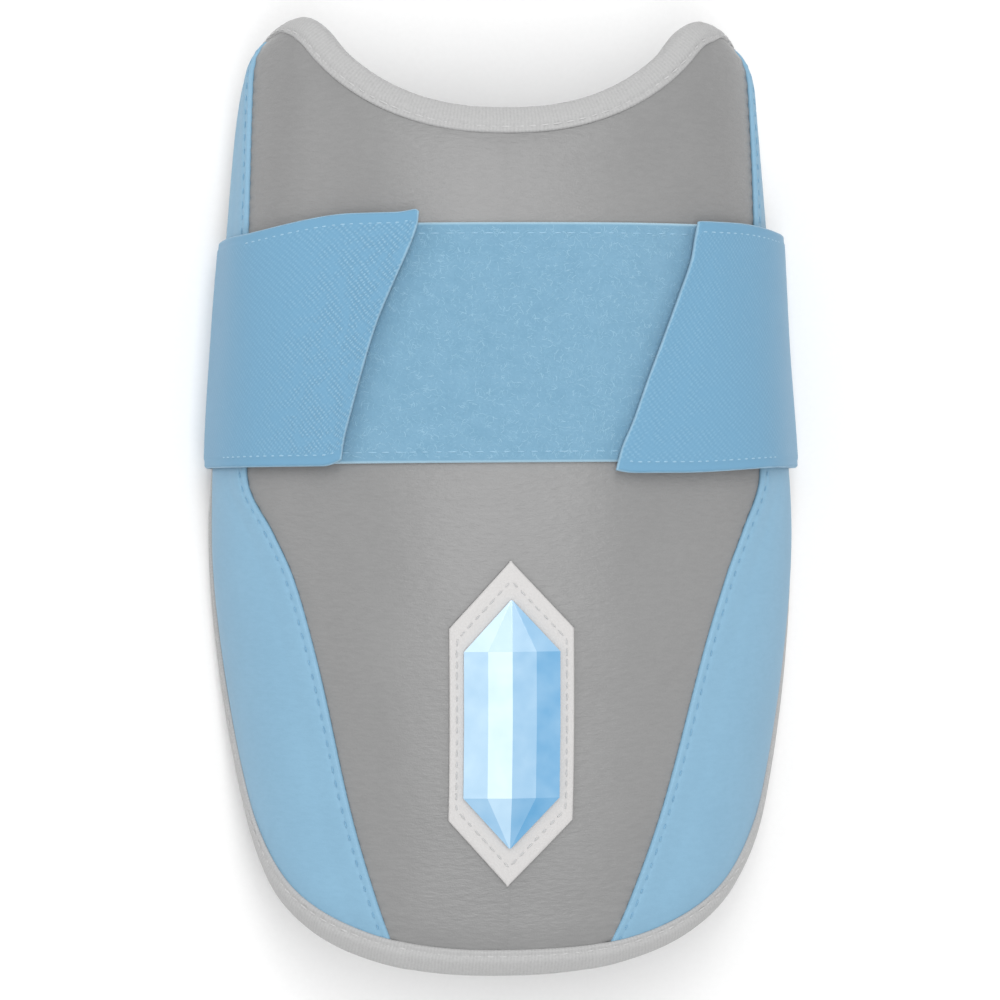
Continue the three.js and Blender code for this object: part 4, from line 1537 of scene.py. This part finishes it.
# %% Patch, strap and badge stitches
PATCH_SAMPLES, STRAP_SAMPLES, BADGE_SAMPLES = 500, 500, 900
PATCH_STITCH_IN = 2.6
PATCH_THREAD_LIFT = 0.02
STRAP_STITCH_IN = 2.5
STRAP_SEWN_SPAN = 0.02, 0.55
STRAP_THREAD_SINK = 0.05
BADGE_THREAD_LIFT = 0.05


def patch_rows():
    for y in (PATCH_LOW + PATCH_STITCH_IN, PATCH_HIGH - PATCH_STITCH_IN):
        u = np.linspace(PATCH_LEFT + PATCH_STITCH_IN, PATCH_RIGHT - PATCH_STITCH_IN, PATCH_SAMPLES)
        line = np.full(len(u), y)
        yield sewn_line("patch", u, line, patch_lift(u, line) + PATCH_THREAD_LIFT)


def strap_rows():
    for side in STRAP_SIDES["side"]:
        for b in (STRAP_STITCH_IN / STRAP_WIDTH, 1 - STRAP_STITCH_IN / STRAP_WIDTH):
            stage = np.linspace(*STRAP_SEWN_SPAN, STRAP_SAMPLES)
            points = strap_surface(side, stage, b, STRAP_THICK - STRAP_THREAD_SINK)
            higher = strap_surface(side, stage, b, STRAP_THICK + 1)
            yield stitch_row("strap", points, higher - points)


def badge_row():
    corners = [(0, 1), (1, CORNER_SHARE), (1, -CORNER_SHARE)]
    corners = corners + [(-a, -b) for a, b in corners] + corners[:1]
    scale = (1 + INLAY_SHARE) / 2
    stops = np.linspace(0, len(corners) - 1, BADGE_SAMPLES)
    a, b = [np.interp(stops, range(len(corners)), column) for column in zip(*corners)]
    u = BADGE_U + a * scale * BADGE_HALF_WIDTH
    y = BADGE_Y + b * scale * BADGE_HALF_HEIGHT
    return sewn_line("badge", u, y, np.full(len(u), GAP + BADGE_THICK + BADGE_THREAD_LIFT))


patch_stitches = sew("patch", patch_rows(), pale_thread)
strap_stitches = sew("strap", strap_rows(), pale_thread)
sew("badge", [badge_row()], grey_thread)

# %% [markdown]
# ## What the sheets were cut from
# Cloth hardly stretches, so the size of a sheet's flat cut is the size of the piece. The sizes and
# areas of the cuts are worked out from the same lines that shaped the pieces, and those of the strap
# and the tape are printed.

# %% Flat cuts
def flat_area(piece):
    """The area of a sheet's cut in square metres: its faces in the flat, once for its two sides."""
    spots = np.empty(len(piece.data.vertices) * 3)
    piece.data.attributes["flat"].data.foreach_get("vector", spots)
    u, y = spots.reshape(-1, 3)[:, :2].T
    total = 0.0
    for face in piece.data.polygons:
        corners = list(face.vertices)
        after = corners[1:] + corners[:1]
        total += abs(float(u[corners] @ y[after] - u[after] @ y[corners])) / 2
    return total / 2


front_width = float(seam(SEAM["y"][-1], -1) + seam(SEAM["y"][-1], 1)) * MM
flat_area(front_cover)
for panel, side in ((side_left, -1), (side_right, 1)):
    side_width = float(reach(LOWER_SIDE_Y) - seam(SEAM["y"][0], side)) * MM
    flat_area(panel)
    [seam_stitches] if side > 0 else []
tape_legs = [tape_reach(TAPE_LINE.u, TAPE_LINE.y, between).mean() for between in (0, 1)]
tape_flat = ((2 * TAPE_REACH + TAPE_WEB) * MM, EDGE.length * MM)
tape_area = (sum(tape_legs) + TAPE_WEB) * EDGE.length * MM * MM
strap_flat = (STRAP_WIDTH * MM, STRAP_LENGTH * MM)
for cut in (strap_flat, tape_flat):
    print("cut", [round(size / MM, 1) for size in cut], "mm")
